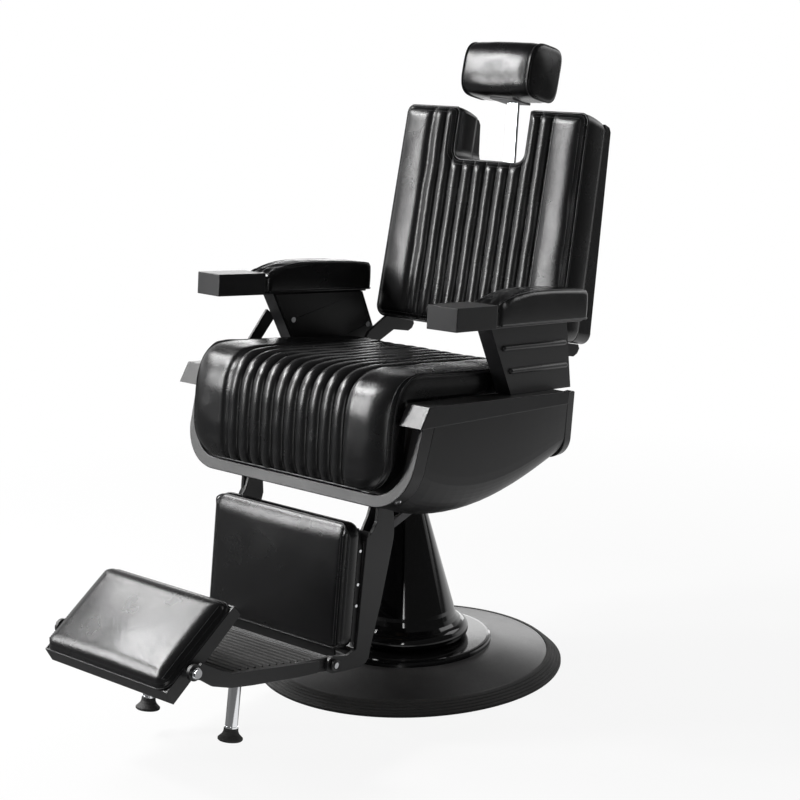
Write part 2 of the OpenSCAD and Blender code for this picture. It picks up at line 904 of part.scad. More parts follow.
module back_outline(inset) {
  w = back_hw + 5 - inset;
  v = back_hw - 5 - inset;
  h = back_h - inset;
  k = (w - v) / (h - inset);
  difference() {
    union() {
      polygon([[-w + 24, inset], [w - 24, inset], [w - 24 * k, inset + 24], [v + 18 * k, h - 18],
        [v - 18, h],
        [-v + 18, h], [-v - 18 * k, h - 18], [-w + 24 * k, inset + 24]]);
      for (s = [-1, 1])
        translate([s * (w - 24.2), 24 + inset])
          circle(r = 24);
      for (s = [-1, 1])
        translate([s * (v - 17.7), h - 18])
          circle(r = 18);
    }
    polygon([[-notch_hw - inset + 22, back_h - notch_d - inset],
      [notch_hw + inset - 22, back_h - notch_d - inset],
      [notch_hw + inset + 1, back_h - notch_d - inset + 22], [notch_hw + inset + 10, back_h + 10],
      [-notch_hw - inset - 10, back_h + 10], [-notch_hw - inset - 1, back_h - notch_d - inset + 22]]);
    for (s = [-1, 1])
      translate([s * (notch_hw + inset - 22), back_h - notch_d - inset + 22])
        circle(r = 22);
  }
}

module back_layer(y0, t, inset) {
  translate([0, y0 + t, 0])
    rotate([90, 0, 0])
      linear_extrude(t)
        back_outline(inset);
}

module back_frame() {
  color([0.25, 0.25, 0.26])
    at_back()
      both() {
        translate([221, 88.2, 10])
          cube([20, 5.8, 300]);
        translate([-0.01, 88.2, 60])
          cube([222, 5.8, 36]);
        translate([17.2, 88.2, 250])
          cube([204, 5.8, 36]);
      }
}

module back_board() {
  color([0.55, 0.42, 0.28])
    at_back()
      difference() {
        intersection() {
          back_layer(76, 12, 8);
          translate([-300, 60, -1])
            cube([600, 60, back_h - 30]);
        }
        translate([-18, 75, 150])
          cube([36, 20, 330]);
      }
}

module back_cushion() {
  xs = concat([for (f = [0, 0.06, 0.2, 0.45, 0.8]) -back_hw + f * (back_hw - chan_hw)],
    [for (k = [0:2 * channels]) -chan_hw + k * chan_hw / channels],
    [for (f = [0.8, 0.45, 0.2, 0.06, 0]) back_hw - f * (back_hw - chan_hw)]);
  vs = rows_v;
  nf = back_h - notch_d;
  function hi(x) = abs(x) > notch_hw + 3 ? round_lim(x, back_hw, back_h, 18) :
    nf + (abs(x) > notch_hw - 20 ? 16 * pow((abs(x) - notch_hw + 20) / 20, 2) : 0);
  function lo(x) = back_h - round_lim(x, back_hw, back_h, 26);
  function dn(x, z) = abs(x) > notch_hw + 3 && z > nf - 20 ?
    norm([max(0, abs(x) - notch_hw - 4), max(0, nf - z)]) : 999;
  function wide(x, z) = abs(x) <= chan_hw + 1 ? x :
    sign(x) * lerp(chan_hw, back_hw + 10 * (0.5 - z / back_h), (abs(x) - chan_hw) / (back_hw - chan_hw));
  top = [for (x = xs, v = vs) let(z = lerp(lo(x), hi(x), v),
    d = min(back_hw - abs(x), hi(x) - z, z - lo(x), dn(x, z)))
    [wide(x, z), z, 58 + 17 * edgef(d, 26) - groove(x) * edgef(d, 20)]];
  bot = [for (x = xs, v = vs) let(z = lerp(lo(x), hi(x) - 11, v)) [wide(x, z), z, 0]];
  color([0.07, 0.07, 0.075])
    at_back()
      translate([0, 76, 0])
        rotate([90, 0, 0])
          skin(top, bot, len(xs), len(vs));
}

module back_panel() {
  color([0.08, 0.08, 0.085])
    at_back()
      difference() {
        intersection() {
          back_layer(76, 50, 0.5);
          slab_x(-300, 600)
            polygon([[70, -5], [112, -5], [117, 2], [117, 24], [96, back_h - 26], [90, back_h - 17],
              [70, back_h - 11]]);
        }
        intersection() {
          back_layer(75, 60, 8);
          slab_x(-300, 600)
            polygon([[70, -5], [109, 8], [109, 24], [95, 100], [95, back_h - 30], [70, back_h - 20]]);
        }
        both()
          translate([232, 87, -1])
            cube([10, 60, 12]);
        translate([-17 - seam, 60, back_h - notch_d - 12])
          cube([34 + 2 * seam, 34 + seam, 30]);
      }
}

module post_socket() {
  color([0.3, 0.3, 0.31])
    at_back()
      difference() {
        translate([-17, 79, 170])
          cube([34, 15, back_h - notch_d - 170]);
        translate([-post_w / 2 - running, 83 - running, 180])
          cube([post_w + 2 * running, 8 + 2 * running, 300]);
      }
}

module post_shape(e = 0) {
  slab_x(-post_w / 2 - e, post_w + 2 * e)
    polygon([[83 - e, 200], [91 + e, 200], [91 + e, back_h - 98.7], [69.3 + e, back_h + 78.2],
      [61.3 - e, back_h + 77.2], [83 - e, back_h - 99.2]]);
}

module headrest_post() {
  color([0.82, 0.82, 0.84])
    at_back()
      post_shape();
}

module at_pillow() {
  at_back()
    translate([0, 47.4, back_h + 85])
      rotate([-2, 0, 0])
        children();
}

module headrest_bracket() {
  color([0.14, 0.14, 0.15])
    difference() {
      at_pillow()
        translate([-33, -16, -pillow_h / 2 - 4])
          cube([66, 60, 5]);
      at_back()
        post_shape();
    }
}

module headrest_pillow() {
  n = 24;
  hw = pillow_w / 2;
  fs = [-1, -0.985, -0.94, -0.86, -0.7, -0.35, 0, 0.35, 0.7, 0.86, 0.94, 0.985, 1];
  function sc(f) = abs(f) > 0.999 ? 0.72 : abs(f) > 0.98 ? 0.86 : abs(f) > 0.93 ? 0.94 :
    1 + 0.03 * (1 - f * f);
  function ring(f, k) = let(a = 360 * k / n, p = 0.42, s = sc(f), cy = cos(a), cz = sin(a))
    [f * hw, s * pillow_d / 2 * sign(cy) * pow(abs(cy), p), s * pillow_h / 2 * sign(cz) * pow(abs(cz), p)];
  m = len(fs);
  pts = concat([for (f = fs, k = [0:n - 1]) ring(f, k)], [[-hw, 0, 0], [hw, 0, 0]]);
  fcs = concat(
    [for (i = [0:m - 2], k = [0:n - 1]) [i * n + k, (i + 1) * n + k, (i + 1) * n + (k + 1) % n]],
    [for (i = [0:m - 2], k = [0:n - 1]) [i * n + k, (i + 1) * n + (k + 1) % n, i * n + (k + 1) % n]],
    [for (k = [0:n - 1]) [m * n, k, (k + 1) % n]],
    [for (k = [0:n - 1]) [m * n + 1, (m - 1) * n + (k + 1) % n, (m - 1) * n + k]]
  );
  color([0.07, 0.07, 0.075])
    difference() {
      at_pillow()
        polyhedron(points = pts, faces = fcs, convexity = 4);
      at_pillow()
        translate([-33.3, -16.3, -pillow_h / 2 - 20])
          cube([66.6, 60.6, 21.3]);
      at_back()
        post_shape(0.5);
    }
}

// ---------- legrest ----------
leg_arm_pts = [[-283, 440], [-287, 413], [-301, 395], [-317, 387], [-338, 270], [-348, 209], [-355, 172],
  [-378, 166], [-416, 174.5], [-421, 141.5], [-391, 137], [-345, 133], [-330, 137], [-322, 145], [-316, 165],
  [-282, 253], [-243, 371], [-239, 405], [-247, 450]];
cheek_pts = [[-284, 446], [-287, 436], [-294, 421], [-311, 397], [-321, 366], [-300, 360], [-262, 362],
  [-247, 400], [-247, 450]];

module leg_arm() {
  hw = world_of(leg_hy, leg_hz);
  difference() {
    union() {
      slab_x(lane_leg, plate_t)
        union() {
          polygon(leg_arm_pts);
          translate(hw)
            circle(r = 20);
          translate([elbow_y, elbow_z])
            circle(r = 17);
        }
      slab_x(cheek_x, 6)
        union() {
          polygon(cheek_pts);
          translate(hw)
            circle(r = 19);
        }
      slab_x(cheek_x, leg_x - cheek_x)
        polygon([[-313, 398], [-319, 368], [-313, 368], [-307, 398]]);
      xcyl(cheek_x + 1, leg_x - 1, link_r, leg_pin()[0], leg_pin()[1]);
    }
    xcyl(cheek_x - 1, leg_x + 1, pin_r + running, hw[0], hw[1]);
    xcyl(lane_leg - 1, leg_x + 1, 6 + running, elbow_y, elbow_z);
  }
}

function leg_pin() = world_of(leg_hy + link_y, leg_hz + link_z);

// A (y, z) point of the seat's frame, in the chair's frame.
function world_of(y, z) = [y * cos(seat_tilt) + z * sin(seat_tilt),
  seat_z - y * sin(seat_tilt) + z * cos(seat_tilt)];

module leg_arm_l() {
  color([0.17, 0.17, 0.18])
    leg_arm();
}

module leg_arm_r() {
  color([0.17, 0.17, 0.18])
    mirror([1, 0, 0])
      leg_arm();
}

module leg_tube() {
  color([0.17, 0.17, 0.18])
    xcyl(-lane_leg, lane_leg, 8, -342, 158);
}

module at_calf() {
  translate([0, -352, 187])
    rotate([-8.4, 0, 0])
      children();
}

module calf_board() {
  color([0.1, 0.1, 0.1])
    at_calf()
      rotate([90, 0, 0])
        linear_extrude(12)
          polygon([[-calf_hw, -2], [calf_hw, -2], [calf_hw, 186], [calf_hw - 11, 220],
            [11 - calf_hw, 220], [-calf_hw, 186]]);
}

module calf_pad() {
  color([0.07, 0.07, 0.075])
    at_calf()
      translate([0, -12, 113])
        rotate([90, 0, 0])
          plain_pad(calf_hw + 1, 118, 20, 22, 38, 24);
}

module leg_screws() {
  color([0.8, 0.8, 0.82]) {
    at_calf()
      both()
        for (z = [70, 112, 178])
          xcyl(calf_hw, calf_hw + 2, 3, -6, z);
    both() {
      xcyl(lane_leg - 8.5, leg_x + 1, 6, elbow_y, elbow_z);
      xcyl(leg_x + 0.2, leg_x + 3, 9.5, elbow_y, elbow_z);
      xcyl(leg_x + 3, leg_x + 8, 7.5, elbow_y, elbow_z);
    }
  }
}

module recline_links() {
  a = leg_pin();
  b = world_of(hinge_y + link_y, hinge_z + link_z);
  ang = atan2(b[1] - a[1], b[0] - a[0]);
  len_l = norm(b - a);
  color([0.3, 0.3, 0.31])
    difference() {
      slab_x(lane_link, plate_t)
        union() {
          translate(a)
            rotate(ang)
              translate([0, -8])
                square([len_l, 16]);
          translate(a)
            circle(r = 11);
          translate(b)
            circle(r = 10.5);
        }
      xcyl(lane_link - 1, lane_link + 9, link_r + clear_pin, a[0], a[1]);
      xcyl(lane_link - 1, lane_link + 9, link_r + running, b[0], b[1]);
    }
}

// ---------- footrest ----------
module foot_bar() {
  difference() {
    union() {
      slab_x(lane_leg - 0.5, plate_t)
        union() {
          polygon([[-38, 11], [-262, 11], [-278, 16], [-296, 22], [-338, 38], [-365, 12], [-338, 7],
            [-308, -8], [-262, -16], [-208, -17], [-88, -15], [-42, -12]]);
          translate([pad_u, pad_v])
            circle(r = 15.5);
        }
      slab_x(lane_leg - plate_t - 0.5, plate_t)
        union() {
          polygon([[0, 14], [-90, 11], [-90, -12], [0, -14]]);
          circle(r = 15.5);
        }
    }
    xcyl(lane_leg - 10, lane_leg + 2, 6, 0, 0);
    xcyl(lane_leg - 10, leg_x + 2, 6 + running, pad_u, pad_v);
  }
}

module foot_bar_l() {
  color([0.17, 0.17, 0.18])
    at_foot()
      foot_bar();
}

module foot_bar_r() {
  color([0.17, 0.17, 0.18])
    at_foot()
      mirror([1, 0, 0])
        foot_bar();
}

module foot_plate() {
  w = lane_leg - plate_t - 0.5;
  color([0.1, 0.1, 0.105])
    at_foot() {
      translate([-w, -284, 4])
        cube([2 * w, 270, 4]);
      for (s = [-1, 1])
        translate([s * (w - 2) - 2, -284, -10])
          cube([4, 270, 15]);
      for (y = [-284, -30])
        translate([-w, y, -10])
          cube([2 * w, 4, 15]);
      for (k = [0:foot_ribs - 1])
        translate([-w + 8, -276 + k * 256 / (foot_ribs - 1), 8])
          rotate([0, 90, 0])
            cylinder(h = 2 * w - 16, r = 2.6, $fn = 16);
    }
}

module foot_legs() {
  color([0.82, 0.82, 0.84])
    at_foot()
      both()
        translate([121, -182.5, 0]) {
          translate([0, 0, -124])
            cylinder(h = 128, r = 12);
          translate([0, 0, -119])
            cylinder(h = 3, r = 13.2);
        }
}

module foot_bells() {
  color([0.06, 0.06, 0.06])
    at_foot()
      both()
        translate([121, -182.5, -143.3])
          rotate_extrude()
            polygon([[0, 0], [22, 0], [24, 2], [24, 5], [20.5, 8.5], [16.5, 12.5], [14.2, 18], [13.8, 24.1],
              [12.05, 24.1], [12.05, 19], [0, 19]]);
}

module foot_bolts() {
  color([0.8, 0.8, 0.82])
    at_foot()
      both()
        translate([0, pad_u, pad_v]) {
          xcyl(177, leg_x + 1, 6, 0, 0);
          xcyl(178.3, lane_leg - 0.7, 9, 0, 0);
          xcyl(leg_x - 0.4, leg_x + 3, 10.5, 0, 0);
          xcyl(leg_x + 3, leg_x + 8, 8.5, 0, 0);
        }
}

// ---------- flip pad ----------
module pad_tray() {
  color([0.17, 0.17, 0.18])
    at_pad() {
      difference() {
        slab_x(-178, 356)
          polygon([[-59, 9], [146, 9], [146, -16], [-62, -21]]);
        slab_x(-175, 350)
          polygon([[-56, 20], [143, 20], [143, -13], [-57, -18]]);
        for (s = [-1, 1])
          xcyl(s * 176.5 - 3, s * 176.5 + 3, 6 + running, 0, 0);
      }
      for (k = [0:8])
        translate([-165, -44 + k * 22, -19.7 + k * 0.53])
          rotate([0, 90, 0])
            cylinder(h = 330, r = 1.6, $fn = 16);
    }
}

module pad_board() {
  color([0.55, 0.42, 0.28])
    at_pad()
      difference() {
        slab_x(-174.7, 349.4)
          polygon([[-55.5, 7], [142.7, 7], [142.7, -12.7], [-56.5, -17.7]]);
        for (s = [-1, 1])
          translate([s * 170 - 12, -12, -24])
            cube([24, 24, 40]);
      }
}

module pad_cushion() {
  color([0.07, 0.07, 0.075])
    at_pad()
      translate([0, 43.5, 7])
        plain_pad(171, 98, 14, 11, 32, 24);
}

base_plate();
base_dome();
base_rim();
step_ring();
column_cover();
pump_cylinder();
pump_gland();
pump_bolts();
pedal_bracket();
pump_pedal();
pedal_tread();
lift_ram();
swivel_hub();
seat_frame();
front_hoop();
rear_hoop();
side_cover_l();
side_cover_r();
side_rail_l();
side_rail_r();
seat_board();
seat_cushion();
arm_support_l();
arm_support_r();
arm_inner_l();
arm_inner_r();
arm_block_l();
arm_block_r();
arm_pad_l();
arm_pad_r();
seat_screws();
hinge_pins();
lock_cylinder();
lock_rod();
recline_lever();
back_arms();
back_frame();
back_board();
back_cushion();
back_panel();
post_socket();
headrest_post();
headrest_bracket();
headrest_pillow();
leg_arm_l();
leg_arm_r();
leg_tube();
calf_board();
calf_pad();
leg_screws();
recline_links();
foot_bar_l();
foot_bar_r();
foot_plate();
foot_legs();
foot_bells();
foot_bolts();
pad_tray();
pad_board();
pad_cushion();
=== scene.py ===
"""Looks of the hydraulic barber chair: upholstery, paint, chrome and a pale studio."""

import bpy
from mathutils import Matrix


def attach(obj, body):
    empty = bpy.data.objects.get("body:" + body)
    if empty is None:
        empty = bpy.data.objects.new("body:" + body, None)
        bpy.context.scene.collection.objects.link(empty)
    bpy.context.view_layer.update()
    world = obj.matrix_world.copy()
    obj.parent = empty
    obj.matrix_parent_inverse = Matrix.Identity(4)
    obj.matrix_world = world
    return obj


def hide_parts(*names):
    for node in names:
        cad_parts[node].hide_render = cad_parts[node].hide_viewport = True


bl_info = {
    "name": "Hydraulic barber chair",
    "version": (1, 0, 0),
    "blender": (4, 5, 0),
    "location": "View3D > Sidebar > Barber chair",
    "description": "Upholsters and finishes the packed barber chair and sets its studio",
    "category": "Object",
}

import math
from typing import NamedTuple

import bmesh
import bpy
import numpy as np
from bpy.props import FloatProperty, FloatVectorProperty, IntProperty, PointerProperty
from bpy.types import Operator, Panel, PropertyGroup
from mathutils import Matrix, Vector, noise

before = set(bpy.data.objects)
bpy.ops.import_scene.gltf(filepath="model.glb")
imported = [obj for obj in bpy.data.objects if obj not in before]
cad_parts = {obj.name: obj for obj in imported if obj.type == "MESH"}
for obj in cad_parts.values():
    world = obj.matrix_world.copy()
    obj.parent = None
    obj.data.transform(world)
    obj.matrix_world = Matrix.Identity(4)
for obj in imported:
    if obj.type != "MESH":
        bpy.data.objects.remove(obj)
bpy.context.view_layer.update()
MM = 0.001


# ---------- sizes and frames of the chair, in millimetres and degrees ----------
def shift(x, y, z):
    move = np.eye(4)
    move[:3, 3] = (x, y, z)
    return move


def turn(axis, degrees):
    return np.array(Matrix.Rotation(math.radians(degrees), 4, axis))


ARM_X, ARM_Y, ARM_SPLAY = 366, -253, 3.5
ELBOW_Y, ELBOW_Z, FOOTREST_TILT = -417, 158, 10
PAD_HINGE_OUT, PAD_HINGE_UP, FOOT_PAD_TILT = 353.2, 22, 35

MIRROR = np.diag((-1.0, 1.0, 1.0, 1.0))
CHAIR = shift(0, 0, 0)
SEAT = shift(0, 0, 632) @ turn("X", -6)
ARM = {"l": SEAT @ shift(ARM_X, ARM_Y, 0) @ turn("Z", ARM_SPLAY),
       "r": SEAT @ MIRROR @ shift(ARM_X, ARM_Y, 0) @ turn("Z", ARM_SPLAY)}
BACK = SEAT @ shift(0, 168, 90) @ turn("X", -8)
PILLOW = BACK @ shift(0, 47.4, 556) @ turn("X", -2)
CALF = shift(0, -352, 187) @ turn("X", -8.4)
FOOT = shift(0, ELBOW_Y, ELBOW_Z) @ turn("X", -FOOTREST_TILT)
FOOT_ACROSS, FOOT_UP = math.cos(math.radians(FOOTREST_TILT)), math.sin(math.radians(FOOTREST_TILT))
PAD_HINGE_Y = ELBOW_Y - PAD_HINGE_OUT * FOOT_ACROSS + PAD_HINGE_UP * FOOT_UP
PAD_HINGE_Z = ELBOW_Z + PAD_HINGE_OUT * FOOT_UP + PAD_HINGE_UP * FOOT_ACROSS
FOOT_PAD = shift(0, PAD_HINGE_Y, PAD_HINGE_Z) @ turn("X", FOOT_PAD_TILT)

CHANNEL_HALF = 165.0
SEAT_HALF = 281.0
SEAT_FOOT = -177
SEAT_FOOT_ROUND = 70
SEAT_RUN = 690
SEAT_ROLL = 56
BACK_HALF = 258.0
BACK_HIGH = 471.0
BACK_REAR = 76.0
BACK_EDGE_THICK, BACK_ROLL_RISE, BACK_ROLL = 54, 17, 26
BACK_TOP_ROUND = 18
BACK_FOOT_ROUND = 26
NOTCH_HALF = 99.0
NOTCH_FLOOR = 359.0
NOTCH_ROUND = 22.0
NOTCH_LIP = 8.0
PILLOW_HALF, PILLOW_DEEP, PILLOW_HIGH = 97.0, 52.0, 59.0
ARM_PAD_HALF = 37.0
ARM_PAD_ROUND = 13
ARM_PAD_RIDGE = 9
THREAD_RADIUS = 0.5


def placed(points, place):
    """Points in a frame's millimetres, as metres in the chair's own frame."""
    points = np.asarray(points, float).reshape(-1, 3)
    return (points @ place[:3, :3].T + place[:3, 3]) * MM


# ---------- mesh tools ----------
def grid_faces(columns, rows, start=0):
    i, j = np.meshgrid(np.arange(columns - 1), np.arange(rows - 1), indexing="ij")
    a = (start + i * rows + j).ravel()
    return np.stack([a, a + rows, a + rows + 1, a + 1], 1).tolist()


def ring_faces(rings, around, closed=False):
    """Faces between neighbouring rings of points; closed joins the last ring to the first."""
    faces = []
    for i in range(rings if closed else rings - 1):
        j = (i + 1) % rings
        for k in range(around):
            n = (k + 1) % around
            faces.append([i * around + k, i * around + n, j * around + n, j * around + k])
    return faces


def rim_loop(faces):
    """The ordered ring of points along the open edge of a sheet of faces."""
    seen = {}
    for face in faces:
        for a, b in zip(face, face[1:] + face[:1]):
            if (b, a) in seen:
                del seen[(b, a)]
            else:
                seen[(a, b)] = True
    following = dict(seen.keys())
    first = next(iter(following))
    loop = [first]
    while following[loop[-1]] != first:
        loop.append(following[loop[-1]])
    return loop


def closed_pad(front, faces, back_of, walls=8, bulge=0.0, full_back=False):
    """A closed pad: its front sheet, bulging walls, and a back."""
    front = np.asarray(front, float)
    loop = rim_loop(faces)
    rim = front[loop]
    back = back_of(front)
    back_rim = back[loop]
    along = np.roll(rim, -1, 0) - np.roll(rim, 1, 0)
    outward = np.cross(along, rim - back_rim)
    outward /= np.maximum(np.linalg.norm(outward, axis=1, keepdims=True), 1e-9)
    if np.sum(outward * (rim - front.mean(0))) < 0:
        outward = -outward
    points = [front]
    all_faces = [list(f) for f in faces]
    count = len(front)
    ring = list(loop)
    for step in range(1, walls):
        t = step / walls
        swell = bulge * math.sin(math.pi * t) ** 0.8
        points.append(rim * (1 - t) + back_rim * t + outward * swell)
        new = list(range(count, count + len(loop)))
        count += len(loop)
        for k in range(len(loop)):
            n = (k + 1) % len(loop)
            all_faces.append([ring[n], ring[k], new[k], new[n]])
        ring = new
    if full_back:
        points.append(back)
        base = count
        last = [base + k for k in loop]
        for f in faces:
            all_faces.append([base + v for v in reversed(f)])
    else:
        points.append(back_rim)
        last = list(range(count, count + len(loop)))
        all_faces.append(last)
    for k in range(len(loop)):
        n = (k + 1) % len(loop)
        all_faces.append([ring[n], ring[k], last[k], last[n]])
    return np.concatenate(points), all_faces


def tube(path, radius, sides=8, closed=False):
    """A round cord along a path."""
    path = np.asarray(path, float)
    count = len(path)
    if closed:
        ahead = np.roll(path, -1, 0) - np.roll(path, 1, 0)
    else:
        ahead = np.gradient(path, axis=0)
    ahead /= np.maximum(np.linalg.norm(ahead, axis=1, keepdims=True), 1e-9)
    side = np.cross(ahead[0], (0.3, 0.2, 0.9))
    points = []
    for at, way in zip(path, ahead):
        side = side - way * np.dot(side, way)
        side /= np.linalg.norm(side)
        other = np.cross(way, side)
        for s in range(sides):
            a = 2 * math.pi * s / sides
            points.append(at + radius * (side * math.cos(a) + other * math.sin(a)))
    faces = ring_faces(count, sides, closed)
    if not closed:
        faces.append(list(range(sides))[::-1])
        faces.append([(count - 1) * sides + s for s in range(sides)])
    return points, faces


def even_path(path, step):
    """The same path, with its points a step apart."""
    path = np.asarray(path, float)
    length = np.concatenate([[0], np.cumsum(np.linalg.norm(np.diff(path, axis=0), axis=1))])
    count = max(2, int(length[-1] / step) + 1)
    at = np.linspace(0, length[-1], count)
    return np.stack([np.interp(at, length, path[:, k]) for k in range(3)], 1)


def stitches(path, length=3.4, gap=1.6, radius=THREAD_RADIUS):
    """A run of short threads laid along a path."""
    ends = even_path(path, (length + gap) / 4)
    points, faces = [], []
    for k in range(0, len(ends) - 4, 4):
        a, b = ends[k], ends[k + 3]
        ahead = (b - a) / max(np.linalg.norm(b - a), 1e-9)
        side = np.cross(ahead, (0.31, 0.22, 0.87))
        side /= np.linalg.norm(side)
        other = np.cross(ahead, side)
        base = len(points)
        points += [a, b]
        middle = (a + b) / 2
        for end in (a * 0.7 + middle * 0.3, b * 0.7 + middle * 0.3):
            points += [end + radius * side, end + radius * other,
                       end - radius * side, end - radius * other]
        for s in range(4):
            n = (s + 1) % 4
            faces.append([base, base + 2 + n, base + 2 + s])
            faces.append([base + 2 + s, base + 2 + n, base + 6 + n, base + 6 + s])
            faces.append([base + 1, base + 6 + s, base + 6 + n])
    return points, faces


def joined(parts):
    points, faces = [], []
    for some_points, some_faces in parts:
        base = len(points)
        points += [tuple(p) for p in some_points]
        faces += [[base + v for v in f] for f in some_faces]
    return points, faces


def outward_faces(mesh):
    work = bmesh.new()
    work.from_mesh(mesh)
    bmesh.ops.recalc_face_normals(work, faces=work.faces)
    work.to_mesh(mesh)
    work.free()


def make_piece(name, points, faces, place, material, body, slot="upholstery", smooth=True):
    mesh = bpy.data.meshes.new(name)
    mesh.from_pydata([tuple(p) for p in placed(points, place)], [], [list(f) for f in faces])
    outward_faces(mesh)
    mesh.materials.append(material)
    mesh.polygons.foreach_set("use_smooth", [smooth] * len(mesh.polygons))
    mesh.update()
    piece = bpy.data.objects.new(name, mesh)
    bpy.context.scene.collection.objects.link(piece)
    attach(piece, body)
    return piece


def make_cords(name, parts, place, body):
    """One piece of piping or welts, from its tubes."""
    make_piece(name, *joined(parts), place, welt_finish(), body)


def make_stitches(name, parts, place, body):
    """One piece of stitching, from its runs of thread."""
    make_piece(name, *joined(parts), place, thread_finish(), body)


# ---------- soft form tools ----------
def edge_roll(gap, reach):
    """How far a padded edge has risen at a gap from it: 0 at the edge, 1 beyond its reach."""
    gap = np.clip(gap, 0, None)
    return np.where(gap >= reach, 1.0, np.sqrt(np.clip(1 - (1 - gap / reach) ** 2, 0, 1)))


def corner_drop(past, radius):
    """How far a round corner has fallen away, at a distance past where it starts."""
    return np.where(past <= 0, 0.0, radius - np.sqrt(np.clip(radius ** 2 - past * past, 0, None)))


def bump_at(x, middle, width):
    """A smooth hump of height 1 about a middle."""
    return np.exp(-((x - middle) / width) ** 2)


def swept(t, pull=0.7):
    """Even steps, drawn closer together at both ends."""
    t = np.asarray(t, float)
    return t * (1 - pull) + pull * (0.5 - 0.5 * np.cos(np.pi * t))


def fold(x, half, count, sharp=1.9):
    """How deep a sewn channel is pulled in at x: 1 on a seam, 0 on a crown."""
    pitch = 2 * half / count
    p = (x + half) / pitch
    t = np.abs(p - np.round(p)) * 2
    t = np.where(np.abs(x) > half, np.clip((np.abs(x) - half) * 2 / pitch, 0, 1), t)
    return 1 - (1 - (1 - t) ** sharp) ** (1 / sharp)


def hermite(where, rows, at):
    """A smooth curve through rows of numbers that stand at the given places."""
    rows = np.asarray(rows, float)
    slope = np.gradient(rows, where, axis=0)
    k = np.clip(np.searchsorted(where, at, side="right") - 1, 0, len(where) - 2)
    gap = where[k + 1] - where[k]
    t = (at - where[k]) / gap
    shape = t.shape + (1,) * (rows.ndim - 1)
    t, gap = t.reshape(shape), gap.reshape(shape)
    return ((2 * t ** 3 - 3 * t ** 2 + 1) * rows[k]
            + (t ** 3 - 2 * t ** 2 + t) * gap * slope[k]
            + (-2 * t ** 3 + 3 * t ** 2) * rows[k + 1]
            + (t ** 3 - t ** 2) * gap * slope[k + 1])


def waver(points, size, amount, seed=0.0):
    """A gentle unevenness of stuffed leather."""
    points = np.asarray(points, float)
    out = np.array([noise.noise(Vector((x / size + seed, y / size - seed, z / size + seed * 0.5)))
                    for x, y, z in points.reshape(-1, 3)])
    return (out * amount).reshape(points.shape[:-1])


def channel_seams(channels):
    """Where the seams stand across a channelled cushion."""
    pitch = 2 * CHANNEL_HALF / channels
    return [-CHANNEL_HALF + pitch * k for k in range(channels + 1)]


def channel_columns(edge_half, channels, per=12, side=20):
    """Columns across a cushion: close beside each seam, and close at the outer edge."""
    pitch = 2 * CHANNEL_HALF / channels
    columns = [-CHANNEL_HALF + pitch * (k + s)
               for k in range(channels) for s in swept(np.arange(per) / per, 0.85)]
    bolster = [edge_half - (edge_half - CHANNEL_HALF) * (1 - math.sin(math.pi / 2 * (k / side)))
               for k in range(1, side + 1)]
    return np.array([-v for v in reversed(bolster)] + columns + [CHANNEL_HALF] + bolster)


def widened(x, width, half):
    """x, with the bolster beside the channels stretched so that half becomes width."""
    stretched = (CHANNEL_HALF + (width - CHANNEL_HALF) * (np.abs(x) - CHANNEL_HALF)
                 / (half - CHANNEL_HALF))
    return np.where(np.abs(x) <= CHANNEL_HALF + 1e-6, x, np.sign(x) * stretched)


# ---------- node helpers ----------
def node_tree(owner):
    owner.use_nodes = True
    owner.node_tree.nodes.clear()
    return owner.node_tree


def link(tree, a, b):
    tree.links.new(a, b)


def node_with(tree, kind, **values):
    """A new node with some of its input sockets set."""
    node = tree.nodes.new(kind)
    for key, value in values.items():
        node.inputs[key].default_value = value
    return node


def group_node(tree, group, **values):
    node = tree.nodes.new("ShaderNodeGroup")
    node.node_tree = group
    for key, value in values.items():
        node.inputs[key].default_value = value
    return node


def group_tree(name, inputs, outputs):
    """A new node group, with its inputs, its outputs and the place on the object."""
    tree = bpy.data.node_groups.new(name, "ShaderNodeTree")
    for label, default in inputs:
        tree.interface.new_socket(name=label, in_out="INPUT",
                                  socket_type="NodeSocketFloat").default_value = default
    for label in outputs:
        tree.interface.new_socket(name=label, in_out="OUTPUT", socket_type="NodeSocketFloat")
    given, result = tree.nodes.new("NodeGroupInput"), tree.nodes.new("NodeGroupOutput")
    return tree, given.outputs, result.inputs, object_place(tree)


def object_place(tree):
    return tree.nodes.new("ShaderNodeTexCoord").outputs["Object"]


def math_node(tree, operation, a, b, clamp=False):
    node = tree.nodes.new("ShaderNodeMath")
    node.operation = operation
    node.use_clamp = clamp
    for socket, value in zip(node.inputs, (a, b)):
        if isinstance(value, (int, float)):
            socket.default_value = value
        else:
            link(tree, value, socket)
    return node.outputs[0]


def plus(tree, a, b, clamp=False):
    return math_node(tree, "ADD", a, b, clamp)


def minus(tree, a, b, clamp=False):
    return math_node(tree, "SUBTRACT", a, b, clamp)


def times(tree, a, b, clamp=False):
    return math_node(tree, "MULTIPLY", a, b, clamp)


def noise_at(tree, vector, scale, detail=2.0, rough=0.5):
    node = node_with(tree, "ShaderNodeTexNoise", Detail=detail, Roughness=rough)
    link(tree, vector, node.inputs["Vector"])
    if isinstance(scale, (int, float)):
        node.inputs["Scale"].default_value = scale
    else:
        link(tree, scale, node.inputs["Scale"])
    return node.outputs["Fac"]


def split_axes(tree, vector):
    """The x, y and z of a vector, as sockets by letter."""
    node = tree.nodes.new("ShaderNodeSeparateXYZ")
    link(tree, vector, node.inputs["Vector"])
    return node.outputs


